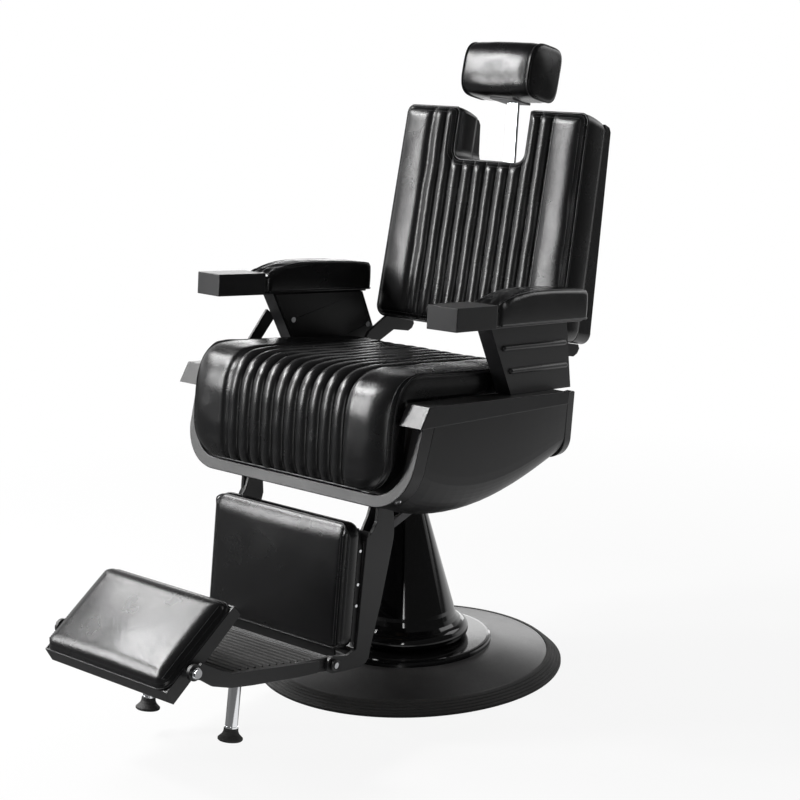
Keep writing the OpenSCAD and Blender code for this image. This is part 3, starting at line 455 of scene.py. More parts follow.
def colour_mix(tree, factor, a, b):
    node = tree.nodes.new("ShaderNodeMix")
    node.data_type = "RGBA"
    link(tree, factor, node.inputs["Factor"])
    for key, value in (("A", a), ("B", b)):
        socket = [s for s in node.inputs if s.name == key and s.type == "RGBA"][0]
        if isinstance(value, tuple):
            socket.default_value = value + (1.0,)
        else:
            link(tree, value, socket)
    return [s for s in node.outputs if s.type == "RGBA"][0]


def bump(tree, height, strength, distance):
    node = node_with(tree, "ShaderNodeBump", Strength=strength, Distance=distance)
    link(tree, height, node.inputs["Height"])
    return node.outputs["Normal"]


# ---------- effects that several finishes share ----------
def hide_grain():
    """Pebbled grain of leathercloth, with soft creases across it."""
    name = "Hide grain"
    if name in bpy.data.node_groups:
        return bpy.data.node_groups[name]
    tree, given, result, place = group_tree(name, [("Scale", 700.0), ("Crease", 0.4)],
                                            ["Height", "Shade"])
    bend = node_with(tree, "ShaderNodeTexNoise", Scale=260)
    link(tree, place, bend.inputs["Vector"])
    bent = tree.nodes.new("ShaderNodeMix")
    bent.data_type = "VECTOR"
    bent.inputs["Factor"].default_value = 0.0006
    link(tree, place, bent.inputs["A"])
    link(tree, bend.outputs["Color"], bent.inputs["B"])
    cells = tree.nodes.new("ShaderNodeTexVoronoi")
    cells.feature = "DISTANCE_TO_EDGE"
    link(tree, bent.outputs["Result"], cells.inputs["Vector"])
    link(tree, given["Scale"], cells.inputs["Scale"])
    pebble = times(tree, cells.outputs["Distance"], 3.0, clamp=True)
    pores = noise_at(tree, place, 2600, 1.0)
    crease = times(tree, noise_at(tree, place, 170), given["Crease"])
    height = plus(tree, times(tree, pebble, 0.6), times(tree, pores, 0.2))
    link(tree, plus(tree, height, crease), result["Height"])
    link(tree, plus(tree, times(tree, pebble, 0.3), 0.7), result["Shade"])
    return tree


def paint_skin():
    """The pebbled skin of sprayed powder paint."""
    name = "Paint skin"
    if name in bpy.data.node_groups:
        return bpy.data.node_groups[name]
    tree, given, result, place = group_tree(name, [("Scale", 900.0), ("Ripple", 0.3)],
                                            ["Height", "Mottle"])
    fine = noise_at(tree, place, given["Scale"])
    ripple = times(tree, noise_at(tree, place, 90), given["Ripple"])
    link(tree, plus(tree, fine, ripple), result["Height"])
    link(tree, noise_at(tree, place, 14, 4.0), result["Mottle"])
    return tree


def dust_veil():
    """Settled dust: most on level faces, broken up by cloudy patches."""
    name = "Dust veil"
    if name in bpy.data.node_groups:
        return bpy.data.node_groups[name]
    tree, given, result, place = group_tree(name, [("Amount", 0.2)], ["Mask"])
    facing = tree.nodes.new("ShaderNodeNewGeometry").outputs["Normal"]
    level = math_node(tree, "MAXIMUM", split_axes(tree, facing)["Z"], 0.0)
    cloud = noise_at(tree, place, 9, 5.0, 0.6)
    specks = plus(tree, noise_at(tree, place, 420), 0.3)
    mask = times(tree, times(tree, level, cloud), specks)
    link(tree, times(tree, mask, given["Amount"], clamp=True), result["Mask"])
    return tree


def edge_wear():
    """Rubbed edges, where a bend is sharp."""
    name = "Edge wear"
    if name in bpy.data.node_groups:
        return bpy.data.node_groups[name]
    tree, given, result, place = group_tree(name, [("Amount", 0.5)], ["Mask"])
    sharp = tree.nodes.new("ShaderNodeNewGeometry").outputs["Pointiness"]
    rub = noise_at(tree, place, 60, 4.0)
    edge = times(tree, minus(tree, sharp, 0.53), 9.0, clamp=True)
    link(tree, times(tree, times(tree, edge, rub), given["Amount"], clamp=True), result["Mask"])
    return tree


def hand_marks():
    """Faint wiped smears that change how sharp a shine is."""
    name = "Hand marks"
    if name in bpy.data.node_groups:
        return bpy.data.node_groups[name]
    tree, given, result, place = group_tree(
        name, [("Low", 0.05), ("High", 0.12), ("Scale", 18.0)], ["Roughness"])
    smear = noise_at(tree, place, given["Scale"], 5.0, 0.6)
    spread = times(tree, minus(tree, given["High"], given["Low"]), smear)
    link(tree, plus(tree, given["Low"], spread), result["Roughness"])
    return tree


# ---------- finishes ----------
def new_finish(name):
    material = bpy.data.materials.new(name)
    tree = node_tree(material)
    shader = tree.nodes.new("ShaderNodeBsdfPrincipled")
    output = tree.nodes.new("ShaderNodeOutputMaterial")
    link(tree, shader.outputs["BSDF"], output.inputs["Surface"])
    return material, tree, shader.inputs


def set_surface(tree, shader, colour, roughness, normal):
    link(tree, colour, shader["Base Color"])
    link(tree, normal, shader["Normal"])
    if isinstance(roughness, float):
        shader["Roughness"].default_value = roughness
    else:
        link(tree, roughness, shader["Roughness"])


def toned(colour, by):
    return tuple(c * by for c in colour)


def upholstery_finish(name="Black leathercloth", crease=0.2):
    if name in bpy.data.materials:
        return bpy.data.materials[name]
    look = bpy.context.scene.chair_upholstery
    material, tree, shader = new_finish(name)
    grain = group_node(tree, hide_grain(), Scale=1 / look.grain_size, Crease=crease)
    marks = group_node(tree, hand_marks(), Low=look.leather_roughness - 0.05,
                       High=look.leather_roughness + 0.09, Scale=11.0)
    dust = group_node(tree, dust_veil(), Amount=0.012)
    hide = colour_mix(tree, grain.outputs["Shade"], toned(look.leather_colour, 0.6),
                      tuple(look.leather_colour))
    set_surface(tree, shader, colour_mix(tree, dust.outputs["Mask"], hide, (0.32, 0.31, 0.3)),
                marks.outputs["Roughness"], bump(tree, grain.outputs["Height"], 0.45, 0.0003))
    shader["Specular IOR Level"].default_value = 0.5
    return material


def thread_finish():
    name = "Waxed thread"
    if name in bpy.data.materials:
        return bpy.data.materials[name]
    thread = tuple(bpy.context.scene.chair_upholstery.thread_colour)
    material, tree, shader = new_finish(name)
    skin = group_node(tree, paint_skin(), Scale=2400.0, Ripple=0.2)
    set_surface(tree, shader, colour_mix(tree, skin.outputs["Mottle"], thread, toned(thread, 1.5)),
                0.5, bump(tree, skin.outputs["Height"], 0.4, 0.0003))
    return material


def welt_finish():
    name = "Leathercloth welt"
    if name in bpy.data.materials:
        return bpy.data.materials[name]
    look = bpy.context.scene.chair_upholstery
    material, tree, shader = new_finish(name)
    grain = group_node(tree, hide_grain(), Scale=1.4 / look.grain_size, Crease=0.2)
    marks = group_node(tree, hand_marks(), Low=0.28, High=0.42, Scale=30.0)
    hide = colour_mix(tree, grain.outputs["Shade"], toned(look.leather_colour, 1.2),
                      toned(look.leather_colour, 2.2))
    set_surface(tree, shader, hide, marks.outputs["Roughness"],
                bump(tree, grain.outputs["Height"], 0.3, 0.0003))
    return material


def paint_finish(name, colour, low, high, skin_size=0.0011, skin_depth=0.00025, strength=0.35,
                 wear=0.35, dust=0.15, coat=0.0):
    """Sprayed paint: low and high are the ends of its roughness."""
    if name in bpy.data.materials:
        return bpy.data.materials[name]
    material, tree, shader = new_finish(name)
    skin = group_node(tree, paint_skin(), Scale=1 / skin_size, Ripple=0.35)
    worn = group_node(tree, edge_wear(), Amount=wear)
    veil = group_node(tree, dust_veil(), Amount=dust)
    marks = group_node(tree, hand_marks(), Low=low, High=high, Scale=16.0)
    coating = colour_mix(tree, skin.outputs["Mottle"], toned(colour, 0.86), toned(colour, 1.12))
    coating = colour_mix(tree, worn.outputs["Mask"], coating,
                         tuple(min(1, c * 2.2 + 0.02) for c in colour))
    coating = colour_mix(tree, veil.outputs["Mask"], coating, (0.42, 0.41, 0.4))
    set_surface(tree, shader, coating, marks.outputs["Roughness"],
                bump(tree, skin.outputs["Height"], strength, skin_depth))
    if coat:
        shader["Coat Weight"].default_value = coat
        shader["Coat Roughness"].default_value = 0.04
    return material


def plastic_finish():
    return paint_finish("Dark moulded plastic", (0.006, 0.006, 0.0065), 0.38, 0.52, 0.0012, 0.0003,
                        0.4, wear=0.1, dust=0.08)


def chrome_finish():
    name = "Polished chrome"
    if name in bpy.data.materials:
        return bpy.data.materials[name]
    look = bpy.context.scene.chair_metalwork
    material, tree, shader = new_finish(name)
    marks = group_node(tree, hand_marks(), Low=look.chrome_roughness,
                       High=look.chrome_roughness + 0.08, Scale=40.0)
    veil = group_node(tree, dust_veil(), Amount=0.05)
    skin = group_node(tree, paint_skin(), Scale=60.0, Ripple=0.5)
    plating = colour_mix(tree, veil.outputs["Mask"], tuple(look.chrome_colour), (0.5, 0.49, 0.48))
    set_surface(tree, shader, plating, marks.outputs["Roughness"],
                bump(tree, skin.outputs["Height"], 0.05, 0.0003))
    shader["Metallic"].default_value = 1.0
    return material


def board_finish():
    name = "Birch board"
    if name in bpy.data.materials:
        return bpy.data.materials[name]
    material, tree, shader = new_finish(name)
    stretch = node_with(tree, "ShaderNodeMapping", Scale=(3, 60, 300))
    link(tree, object_place(tree), stretch.inputs["Vector"])
    fibre = noise_at(tree, stretch.outputs["Vector"], 3.0, 6.0, 0.6)
    set_surface(tree, shader, colour_mix(tree, fibre, (0.36, 0.24, 0.13), (0.62, 0.47, 0.3)),
                0.7, bump(tree, fibre, 0.3, 0.0004))
    return material


# ---------- settings ----------
class ChairUpholstery(PropertyGroup):
    channels: IntProperty(
        name="Channels",
        description="Sewn channels across the seat and back",
        default=10, min=4, max=14)
    channel_depth: FloatProperty(
        name="Channel depth",
        description="Depth of a channel seam",
        default=0.009, min=0.002, max=0.016, unit="LENGTH")
    piping_radius: FloatProperty(
        name="Piping radius",
        description="Radius of the piping on cushion edges",
        default=0.0021, min=0.001, max=0.004, unit="LENGTH")
    welt_radius: FloatProperty(
        name="Welt radius",
        description="Radius of the cord in a channel seam",
        default=0.0012, min=0.0005, max=0.003, unit="LENGTH")
    grain_size: FloatProperty(
        name="Grain size",
        description="Width of one pebble of the leathercloth",
        default=0.0034, min=0.0005, max=0.004, unit="LENGTH")
    leather_colour: FloatVectorProperty(
        name="Leathercloth",
        description="Colour of the leathercloth",
        default=(0.005, 0.005, 0.0055), min=0, max=1, subtype="COLOR")
    leather_roughness: FloatProperty(
        name="Leathercloth roughness",
        description="Dullness of the leathercloth",
        default=0.24, min=0.1, max=0.9, subtype="FACTOR")
    thread_colour: FloatVectorProperty(
        name="Thread",
        description="Colour of the sewing thread",
        default=(0.05, 0.05, 0.052), min=0, max=1, subtype="COLOR")


class ChairMetalwork(PropertyGroup):
    frame_colour: FloatVectorProperty(
        name="Frame paint",
        description="Satin powder paint of the frame",
        default=(0.011, 0.011, 0.012), min=0, max=1, subtype="COLOR")
    cover_colour: FloatVectorProperty(
        name="Cover paint",
        description="Paint of the seat's side covers",
        default=(0.014, 0.014, 0.015), min=0, max=1, subtype="COLOR")
    base_colour: FloatVectorProperty(
        name="Base paint",
        description="Rough paint of the cast base",
        default=(0.026, 0.026, 0.028), min=0, max=1, subtype="COLOR")
    gloss_colour: FloatVectorProperty(
        name="Gloss black",
        description="Enamel of the column cover and step",
        default=(0.003, 0.003, 0.0035), min=0, max=1, subtype="COLOR")
    chrome_colour: FloatVectorProperty(
        name="Chrome",
        description="Tint of the plated parts",
        default=(0.8, 0.81, 0.83), min=0, max=1, subtype="COLOR")
    chrome_roughness: FloatProperty(
        name="Chrome roughness",
        description="Dullness of the plating",
        default=0.07, min=0.0, max=0.5, subtype="FACTOR")
    edge_break: FloatProperty(
        name="Edge break",
        description="Rounding of the metal edges",
        default=0.0012, min=0.0, max=0.004, unit="LENGTH")


class ChairStudio(PropertyGroup):
    floor_colour: FloatVectorProperty(
        name="Floor",
        description="Colour of the studio floor",
        default=(0.93, 0.93, 0.93), min=0, max=1, subtype="COLOR")
    left_light: FloatProperty(
        name="Left light",
        description="Power of the large softbox in front on the left",
        default=44.0, min=0, unit="POWER")
    upper_light: FloatProperty(
        name="Upper light",
        description="Power of the softbox above the seat's left",
        default=46.0, min=0, unit="POWER")
    low_light: FloatProperty(
        name="Low light",
        description="Power of the softbox that lights the foot pad",
        default=24.0, min=0, unit="POWER")
    low_rear_light: FloatProperty(
        name="Low rear light",
        description="Power of the low softbox behind the chair",
        default=9.0, min=0, unit="POWER")
    strip_light: FloatProperty(
        name="Strip light",
        description="Power of the thin lamp that draws a line on the cover",
        default=7.0, min=0, unit="POWER")
    rear_light: FloatProperty(
        name="Rear light",
        description="Power of the soft lamp behind the back",
        default=12.0, min=0, unit="POWER")


# ---------- seat cushion ----------
# Rows of (y, z) from the front foot, up over the roll and back: the crown's line, the line
# of the rolled edge, and the flat underside.
SEAT_OUT = [[-320, -177], [-330, -174], [-337, -162], [-341, -122], [-341, -62], [-338, -22],
            [-330, 8], [-315, 30], [-290, 45], [-256, 51], [-200, 52], [-80, 51], [30, 49.5],
            [88, 46], [108, 38], [115, 20]]
SEAT_EDGE = [[-303, -177], [-309, -171], [-312, -158], [-315, -122], [-315, -66], [-311, -22],
             [-304, 4], [-294, 24], [-272, 43], [-246, 48], [-200, 46], [-80, 42], [30, 38],
             [88, 34], [103, 28], [111, 16]]
SEAT_IN = [[-284, -176], [-283.5, -170], [-283.5, -156], [-283.5, -120], [-283.5, -66],
           [-283.5, -36], [-283.5, -20], [-283.5, -6.5], [-268, -6.5], [-245, -6.5], [-196, -6.5],
           [-80, -6.5], [30, -6.5], [84, -6.5], [100, -6.5], [114, -6]]


def seat_rows(at):
    outline = np.array(SEAT_OUT)
    where = np.concatenate([[0], np.cumsum(np.linalg.norm(np.diff(outline, axis=0), axis=1))])
    where /= where[-1]
    under = np.array(SEAT_IN)
    inner = np.stack([np.interp(at, where, under[:, k]) for k in (0, 1)], -1)
    return hermite(where, SEAT_OUT, at), hermite(where, SEAT_EDGE, at), inner


def seat_width(outer):
    """Half the cushion's width: round at its foot, and clear of the splayed arms above."""
    y, z = outer[..., 0], outer[..., 1]
    half = SEAT_HALF - corner_drop(SEAT_FOOT_ROUND - (z - SEAT_FOOT), SEAT_FOOT_ROUND)
    arm_inset, clearance = 73, 1.5
    beside_arm = ARM_X - arm_inset - clearance - math.sin(math.radians(ARM_SPLAY)) * (y + 257)
    return np.minimum(half, beside_arm)


def seat_surface(x, at, look, lift=0.0, grooves=True):
    """Points on the seat cushion's outer face: x across, at from its front foot to its rear."""
    x, at = np.broadcast_arrays(np.asarray(x, float), np.asarray(at, float))
    outer, edge, inner = seat_rows(at)
    roll = edge_roll(SEAT_HALF - np.abs(x), SEAT_ROLL)[..., None]
    face = edge + (outer - edge) * roll
    away = outer - inner
    away /= np.linalg.norm(away, axis=-1, keepdims=True)
    ends = edge_roll(at * SEAT_RUN, 24) * edge_roll((1 - at) * SEAT_RUN, 30)
    shallower = 1.0 - 0.45 * np.clip((at - 0.5) / 0.4, 0, 1)
    depth = look.channel_depth / MM * shallower * (0.25 + 0.75 * ends)
    pull = fold(x, CHANNEL_HALF, look.channels) * depth * grooves
    face = face + away * (lift - pull)[..., None]
    return np.stack([widened(x, seat_width(outer), SEAT_HALF), face[..., 0], face[..., 1]], -1)


class CHAIR_OT_seat(Operator):
    """Makes the waterfall seat cushion with its sewn channels, piping and stitches"""
    bl_idname = "chair.seat_cushion"
    bl_label = "Seat cushion"

    def execute(self, context):
        look = context.scene.chair_upholstery
        columns = channel_columns(SEAT_HALF, look.channels)
        rows = swept(np.linspace(0, 1, 150), 0.25)
        x, at = np.meshgrid(columns, rows, indexing="ij")
        face = seat_surface(x, at, look)
        face[..., 2] += waver(face, 70, 1.6, 3.1) * edge_roll(SEAT_HALF - np.abs(x), 30)
        face[..., 1] += waver(face, 45, 1.0, 8.4)
        inner = seat_rows(at)[2]
        under = np.stack([face[..., 0] * 0.985, inner[..., 0], inner[..., 1]], -1).reshape(-1, 3)
        points, faces = closed_pad(face.reshape(-1, 3), grid_faces(len(columns), len(rows)),
                                   lambda p: under, bulge=2.0, full_back=True)
        cushion = make_piece("seat_cushion_leather", points, faces, SEAT, upholstery_finish(),
                             "seat")
        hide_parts("seat_cushion")
        line = np.linspace(0.015, 0.985, 170)
        threads = [stitches(seat_surface(x, line, look, lift=0.35))
                   for x in channel_seams(look.channels)]
        cord = look.piping_radius / MM
        cords = []
        for side in (-1, 1):
            for inset, radius in ((1.0, cord), (7.5, cord * 0.6)):
                path = seat_surface(side * (SEAT_HALF - inset), np.linspace(0.01, 0.99, 220), look,
                                    lift=0.4)
                cords.append(tube(path, radius))
        across = np.linspace(-SEAT_HALF, SEAT_HALF, 160)
        cords.append(tube(seat_surface(across, 0.012, look, lift=0.2, grooves=False), cord))
        make_cords("seat_cushion_piping", cords, SEAT, "seat")
        make_stitches("seat_cushion_stitches", threads, SEAT, "seat")
        return {"FINISHED"}


# ---------- back cushion ----------
def round_gap(across, along, radius):
    """Distance inside an edge that turns a round corner; across and along start at its middle."""
    return np.where((across > 0) & (along > 0), radius - np.hypot(across, along),
                    radius - np.maximum(across, along))


def back_edge_gap(x, z):
    """Distance from the nearest edge of the back's face."""
    ax = np.abs(x)
    top = round_gap(ax - (BACK_HALF - BACK_TOP_ROUND), z - (BACK_HIGH - BACK_TOP_ROUND),
                    BACK_TOP_ROUND)
    foot = round_gap(ax - (BACK_HALF - BACK_FOOT_ROUND), BACK_FOOT_ROUND - z, BACK_FOOT_ROUND)
    nx, nz = ax - (NOTCH_HALF - NOTCH_ROUND), (NOTCH_FLOOR + NOTCH_ROUND) - z
    notch = np.hypot(np.clip(nx, 0, None), np.clip(nz, 0, None)) - NOTCH_ROUND
    in_notch = (nx <= 0) & (nz <= 0)
    return np.minimum(np.minimum(top, foot), np.where(in_notch, -5.0, notch))


def back_surface(x, z, look, lift=0.0, grooves=True):
    """Points on the front face of the back cushion."""
    x, z = np.broadcast_arrays(np.asarray(x, float), np.asarray(z, float))
    ax, gap = np.abs(x), back_edge_gap(x, z)
    depth = look.channel_depth / MM * 1.15 * edge_roll(gap - 2, 26)
    pull = fold(x, CHANNEL_HALF, look.channels, 1.8) * depth
    middle = (CHANNEL_HALF + BACK_HALF) / 2
    crown = np.clip(1 - ((ax - middle) / (BACK_HALF - middle)) ** 2, 0, 1)
    swell = np.where(ax > CHANNEL_HALF, 4.5 * crown, 3) * edge_roll(gap, 40)
    seam = bump_at(gap, 9, 2.2) * np.clip((ax - BACK_HALF + 30) / 12, 0, 1)
    high = BACK_EDGE_THICK + BACK_ROLL_RISE * edge_roll(gap, BACK_ROLL) + swell
    high = high - 2.4 * seam - pull * grooves + lift
    half = BACK_HALF + 10 * (0.5 - z / BACK_HIGH)
    return np.stack([widened(x, half, BACK_HALF), BACK_REAR - high, z], -1)


def back_ring(inset, step=5.0):
    """The outline of the back's face, drawn in by inset, as (x, z) points."""
    def arc(cx, cz, r, start, end, steps=10):
        angles = [start + (end - start) * k / steps for k in range(steps + 1)]
        return [(cx + r * math.cos(a), cz + r * math.sin(a)) for a in angles]
    quarter = math.pi / 2
    wide, tall = BACK_HALF - inset, BACK_HIGH - inset
    notch, floor = NOTCH_HALF + inset, NOTCH_FLOOR - inset
    top, foot = max(2.0, BACK_TOP_ROUND - inset), max(2.0, BACK_FOOT_ROUND - inset)
    root = NOTCH_ROUND + inset
    half = arc(wide - foot, inset + foot, foot, -quarter, 0)
    half += arc(wide - top, tall - top, top, 0, quarter)
    half += arc(notch + NOTCH_LIP, tall - NOTCH_LIP, NOTCH_LIP, quarter, 2 * quarter)
    half += arc(notch - root, floor + root, root, 0, -quarter)
    ring = half + [(-x, z) for x, z in reversed(half)]
    ring = np.array(ring + [ring[0]])
    flat = np.stack([ring[:, 0], ring[:, 1], np.zeros(len(ring))], 1)
    return even_path(flat, step)[:, :2].T


def back_sheet(columns):
    """The back's face as flat (x, z) points and faces: below the notch, then both sides of it."""
    ax = np.abs(columns)
    low = swept(np.linspace(0, 1, 90), 0.75)
    high = np.sin(np.pi / 2 * np.linspace(0, 1, 34)[1:])
    foot = corner_drop(ax - (BACK_HALF - BACK_FOOT_ROUND), BACK_FOOT_ROUND)
    root = np.minimum(ax - (NOTCH_HALF - NOTCH_ROUND), NOTCH_ROUND)
    middle = NOTCH_FLOOR + corner_drop(root, NOTCH_ROUND)
    top = BACK_HIGH - corner_drop(ax - (BACK_HALF - BACK_TOP_ROUND), BACK_TOP_ROUND)
    top = top - corner_drop(np.minimum(NOTCH_HALF + NOTCH_LIP - ax, NOTCH_LIP), NOTCH_LIP)

    def strip(picked, start, end, steps):
        z = start[picked][:, None] + (end - start)[picked][:, None] * steps[None, :]
        x = np.repeat(columns[picked][:, None], len(steps), 1)
        return np.stack([x, z], -1).reshape(-1, 2)

    every = list(range(len(columns)))
    points = [strip(every, foot, middle, low)]
    faces = grid_faces(len(columns), len(low))
    count = len(points[0])
    for sign in (-1, 1):
        picked = [k for k in every if columns[k] * sign >= NOTCH_HALF - 1e-6]
        points.append(strip(picked, middle, top, high))
        for i in range(len(picked) - 1):
            for j in range(len(high)):
                a = count + i * len(high) + j
                b = a + len(high)
                if j == 0:
                    c, d = [(picked[i + s] + 1) * len(low) - 1 for s in (0, 1)]
                else:
                    c, d = a - 1, b - 1
                faces.append([c, d, b, a])
        count += len(picked) * len(high)
    return np.concatenate(points), faces


def back_rear(points):
    """The flat rear of the back cushion, drawn in a little along its top."""
    rear = points.copy()
    rear[:, 1] = BACK_REAR
    rear[:, 2] -= 11 * np.clip(points[:, 2] - BACK_HIGH + 60, 0, None) / 60
    return rear


class CHAIR_OT_back(Operator):
    """Makes the notched back cushion with its channels, welts and seams"""
    bl_idname = "chair.back_cushion"
    bl_label = "Back cushion"

    def execute(self, context):
        look = context.scene.chair_upholstery
        flat, faces = back_sheet(channel_columns(BACK_HALF, look.channels, side=18))
        x, z = flat.T
        face = back_surface(x, z, look)
        inside = edge_roll(back_edge_gap(x, z), 20)
        face[:, 1] += waver(face, 60, 1.8, 5.7) * inside
        face[:, 2] += waver(face, 40, 0.8, 1.2) * inside
        points, faces = closed_pad(face, faces, back_rear, bulge=2.4)
        cushion = make_piece("back_cushion_leather", points, faces, BACK, upholstery_finish(),
                             "back")
        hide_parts("back_cushion")
        welts = []
        for x in channel_seams(look.channels):
            past = abs(x) - NOTCH_HALF
            if abs(past) < 1:
                top = NOTCH_FLOOR - 4
            else:
                top = BACK_HIGH - 8 if past > 0 else NOTCH_FLOOR - 2
            path = back_surface(x, np.linspace(8, top, 130), look, lift=0.9)
            welts.append(tube(path, look.welt_radius / MM, 6))
        edge = back_surface(*back_ring(1.0), look, lift=0.3, grooves=False)
        welts.append(tube(edge[:-1], look.piping_radius / MM, closed=True))
        make_cords("back_cushion_welts", welts, BACK, "back")
        threads = [stitches(back_surface(*back_ring(inset), look, lift=0.4))
                   for inset in (5.5, 12.5)]
        make_stitches("back_cushion_stitches", threads, BACK, "back")
        return {"FINISHED"}


# ---------- head pillow ----------
# The pillow's girth along it, from its end panel to its middle, as shares of its half length.
PILLOW_ALONG = np.array([-1, -0.997, -0.985, -0.965, -0.94, -0.9, -0.86, -0.7, -0.35, 0])
PILLOW_GIRTH = np.array([0.80, 0.865, 0.92, 0.957, 0.975, 0.962, 0.985, 1.012, 1.028, 1.03])


def pillow_ring(along, count, lift=0.0):
    """One ring of the pillow's boxed section; its front is squarer than its rear."""
    girth = np.interp(-abs(along), PILLOW_ALONG, PILLOW_GIRTH)
    a = np.linspace(0, 2 * np.pi, count, endpoint=False)
    power = np.where(np.cos(a) < 0, 0.62, 0.42)
    y = girth * (PILLOW_DEEP + lift) * np.sign(np.cos(a)) * np.abs(np.cos(a)) ** power
    z = girth * (PILLOW_HIGH + lift) * np.sign(np.sin(a)) * np.abs(np.sin(a)) ** power
    return np.stack([np.full(count, along * PILLOW_HALF), y, z], 1)


def pillow_end(ring, sign):
    """Rings that close a pillow's end with a low crown."""
    return [ring * (1, s, s) + (sign * 4 * (1 - s * s), 0, 0) for s in (0.85, 0.6, 0.3, 0.04)]


class CHAIR_OT_pillow(Operator):
    """Makes the boxed head pillow with stitched end panels"""
    bl_idname = "chair.head_pillow"
    bl_label = "Head pillow"

    def execute(self, context):
        around = 128
        steps = np.concatenate([np.linspace(-1, -0.9, 24)[:-1], np.linspace(-0.9, 0.9, 61),
                                np.linspace(0.9, 1, 24)[1:]])
        rings = [pillow_ring(along, around) for along in steps]
        rings = pillow_end(rings[0], -1)[::-1] + rings + pillow_end(rings[-1], 1)
        surface = np.array(rings)
        surface[..., 1] += waver(surface, 46, 1.6, 2.3)
        surface[..., 2] += waver(surface, 38, 1.2, 6.3)
        faces = ring_faces(len(rings), around)
        faces += [list(range(around)),
                  [(len(rings) - 1) * around + k for k in reversed(range(around))]]
        pillow = make_piece("head_pillow_leather", surface.reshape(-1, 3), faces, PILLOW,
                            upholstery_finish(), "headrest")
        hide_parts("headrest_pillow")
        welts, threads = [], []
        for sign in (-1, 1):
            welts.append(tube(pillow_ring(sign * 0.94, 160, 0.3), 1.6, closed=True))
            threads += [stitches(pillow_ring(sign * along, 160, 0.3), 3.2, radius=0.45)
                        for along in (0.9, 0.975)]
        make_cords("head_pillow_welts", welts, PILLOW, "headrest")
        make_stitches("head_pillow_stitches", threads, PILLOW, "headrest")
        return {"FINISHED"}


# ---------- arm pads ----------
# Rows of (distance from the arm's front, height, how far the sides draw in).
ARM_PAD_ROWS = np.array([
    [124.3, 35, 3.5], [132, 35.5, 3.5], [135, 41.5, 0.8], [141, 44, 0], [150, 47.5, 0],
    [165, 53, 0], [185, 58.5, 0], [205, 62, 0], [230, 64.5, 0], [262, 65.5, 0], [300, 65.5, 0],
    [345, 65, 0], [385, 63.5, 0], [410, 62, 0], [422, 60.5, 0], [428, 58.5, 0], [431, 54, 0]])
ARM_PAD_FRONT, ARM_PAD_REAR = 124.3, 431


def arm_pad_height(along):
    return np.interp(along, ARM_PAD_ROWS[:, 0], ARM_PAD_ROWS[:, 1])


def arm_pad_top():
    """The top sheet of an arm pad, with its ridge seams and the pinch behind the arm block."""
    along = np.concatenate([np.linspace(ARM_PAD_FRONT, 134, 10), np.linspace(135.5, 420, 120),
                            420 + 11 * np.sin(np.pi / 2 * np.linspace(0.1, 1, 12))])
    across = np.sin(np.linspace(-1, 1, 41) * np.pi / 2) * ARM_PAD_HALF
    x, y = np.meshgrid(across, along, indexing="ij")
    ax = np.abs(x)
    rounding = np.clip((y - 345) / 86, 0, None)
    tip = corner_drop(ax - (ARM_PAD_HALF - ARM_PAD_ROUND), ARM_PAD_ROUND) * rounding
    high = arm_pad_height(y) - 4 * (ax / ARM_PAD_HALF) ** 2
    high = high - 6.5 * (1 - edge_roll(ARM_PAD_HALF - ax, 7))
    ridge = 1 - edge_roll(np.abs(ax - (ARM_PAD_HALF - ARM_PAD_RIDGE)), 2.5)
    high = high - 0.8 * ridge * (y > 138)
    inset = np.interp(y, ARM_PAD_ROWS[:, 0], ARM_PAD_ROWS[:, 2])
    top = np.stack([x * (1 - inset / ARM_PAD_HALF), y - tip, high], -1)
    top[..., 2] += waver(top, 40, 1.2, 4.4) * (ARM_PAD_REAR - y > 6)
    pinch = bump_at(y, 146, 9) * 2.4 * np.cos(ax / ARM_PAD_HALF * 11 + y * 0.09)
    pinch += bump_at(y, 176, 16) * np.cos(x / ARM_PAD_HALF * 7 + y * 0.12 + 1)
    top[..., 2] -= pinch * (y > 136)
    return top.reshape(-1, 3), grid_faces(len(across), len(along))


def arm_pad_cords(cord):
    """Piping round the foot of an arm pad, and a thin welt along each ridge."""
    out, rear, low = ARM_PAD_HALF + 0.4, 418, 2.0
    side = [(out, v, low) for v in np.linspace(136, rear, 60)]
    side += [(out - ARM_PAD_ROUND + ARM_PAD_ROUND * math.cos(a), rear + ARM_PAD_ROUND * math.sin(a),
              low) for a in np.linspace(0, math.pi / 2, 10)]
    cords = [tube(side + [(-x, y, z) for x, y, z in reversed(side)], cord)]
    ridge = ARM_PAD_HALF - ARM_PAD_RIDGE
    along = np.linspace(140, 426, 90)
    high = arm_pad_height(along) - 4 * (ridge / ARM_PAD_HALF) ** 2 - 0.3
    for side in (-1, 1):
        cords.append(tube(np.stack([np.full(90, side * ridge), along, high], 1), 1.2))
    return cords


class CHAIR_OT_arm_pads(Operator):
    """Makes the two boxed arm pads with their ridge welts and bottom piping"""
    bl_idname = "chair.arm_pads"
    bl_label = "Arm pads"

    def execute(self, context):
        look = context.scene.chair_upholstery
        top, sheet = arm_pad_top()
        for name in ("l", "r"):
            place = ARM[name] @ shift(-36.5, 0, 144)
            points, faces = closed_pad(top, sheet, lambda p: p * (1, 1, 0), walls=9, bulge=0.8)
            pad = make_piece("arm_pad_%s_leather" % name, points, faces, place, upholstery_finish(),
                             "seat")
            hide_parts("arm_pad_" + name)
            make_cords("arm_pad_%s_piping" % name, arm_pad_cords(look.piping_radius / MM * 0.9),
                       place, "seat")
        return {"FINISHED"}


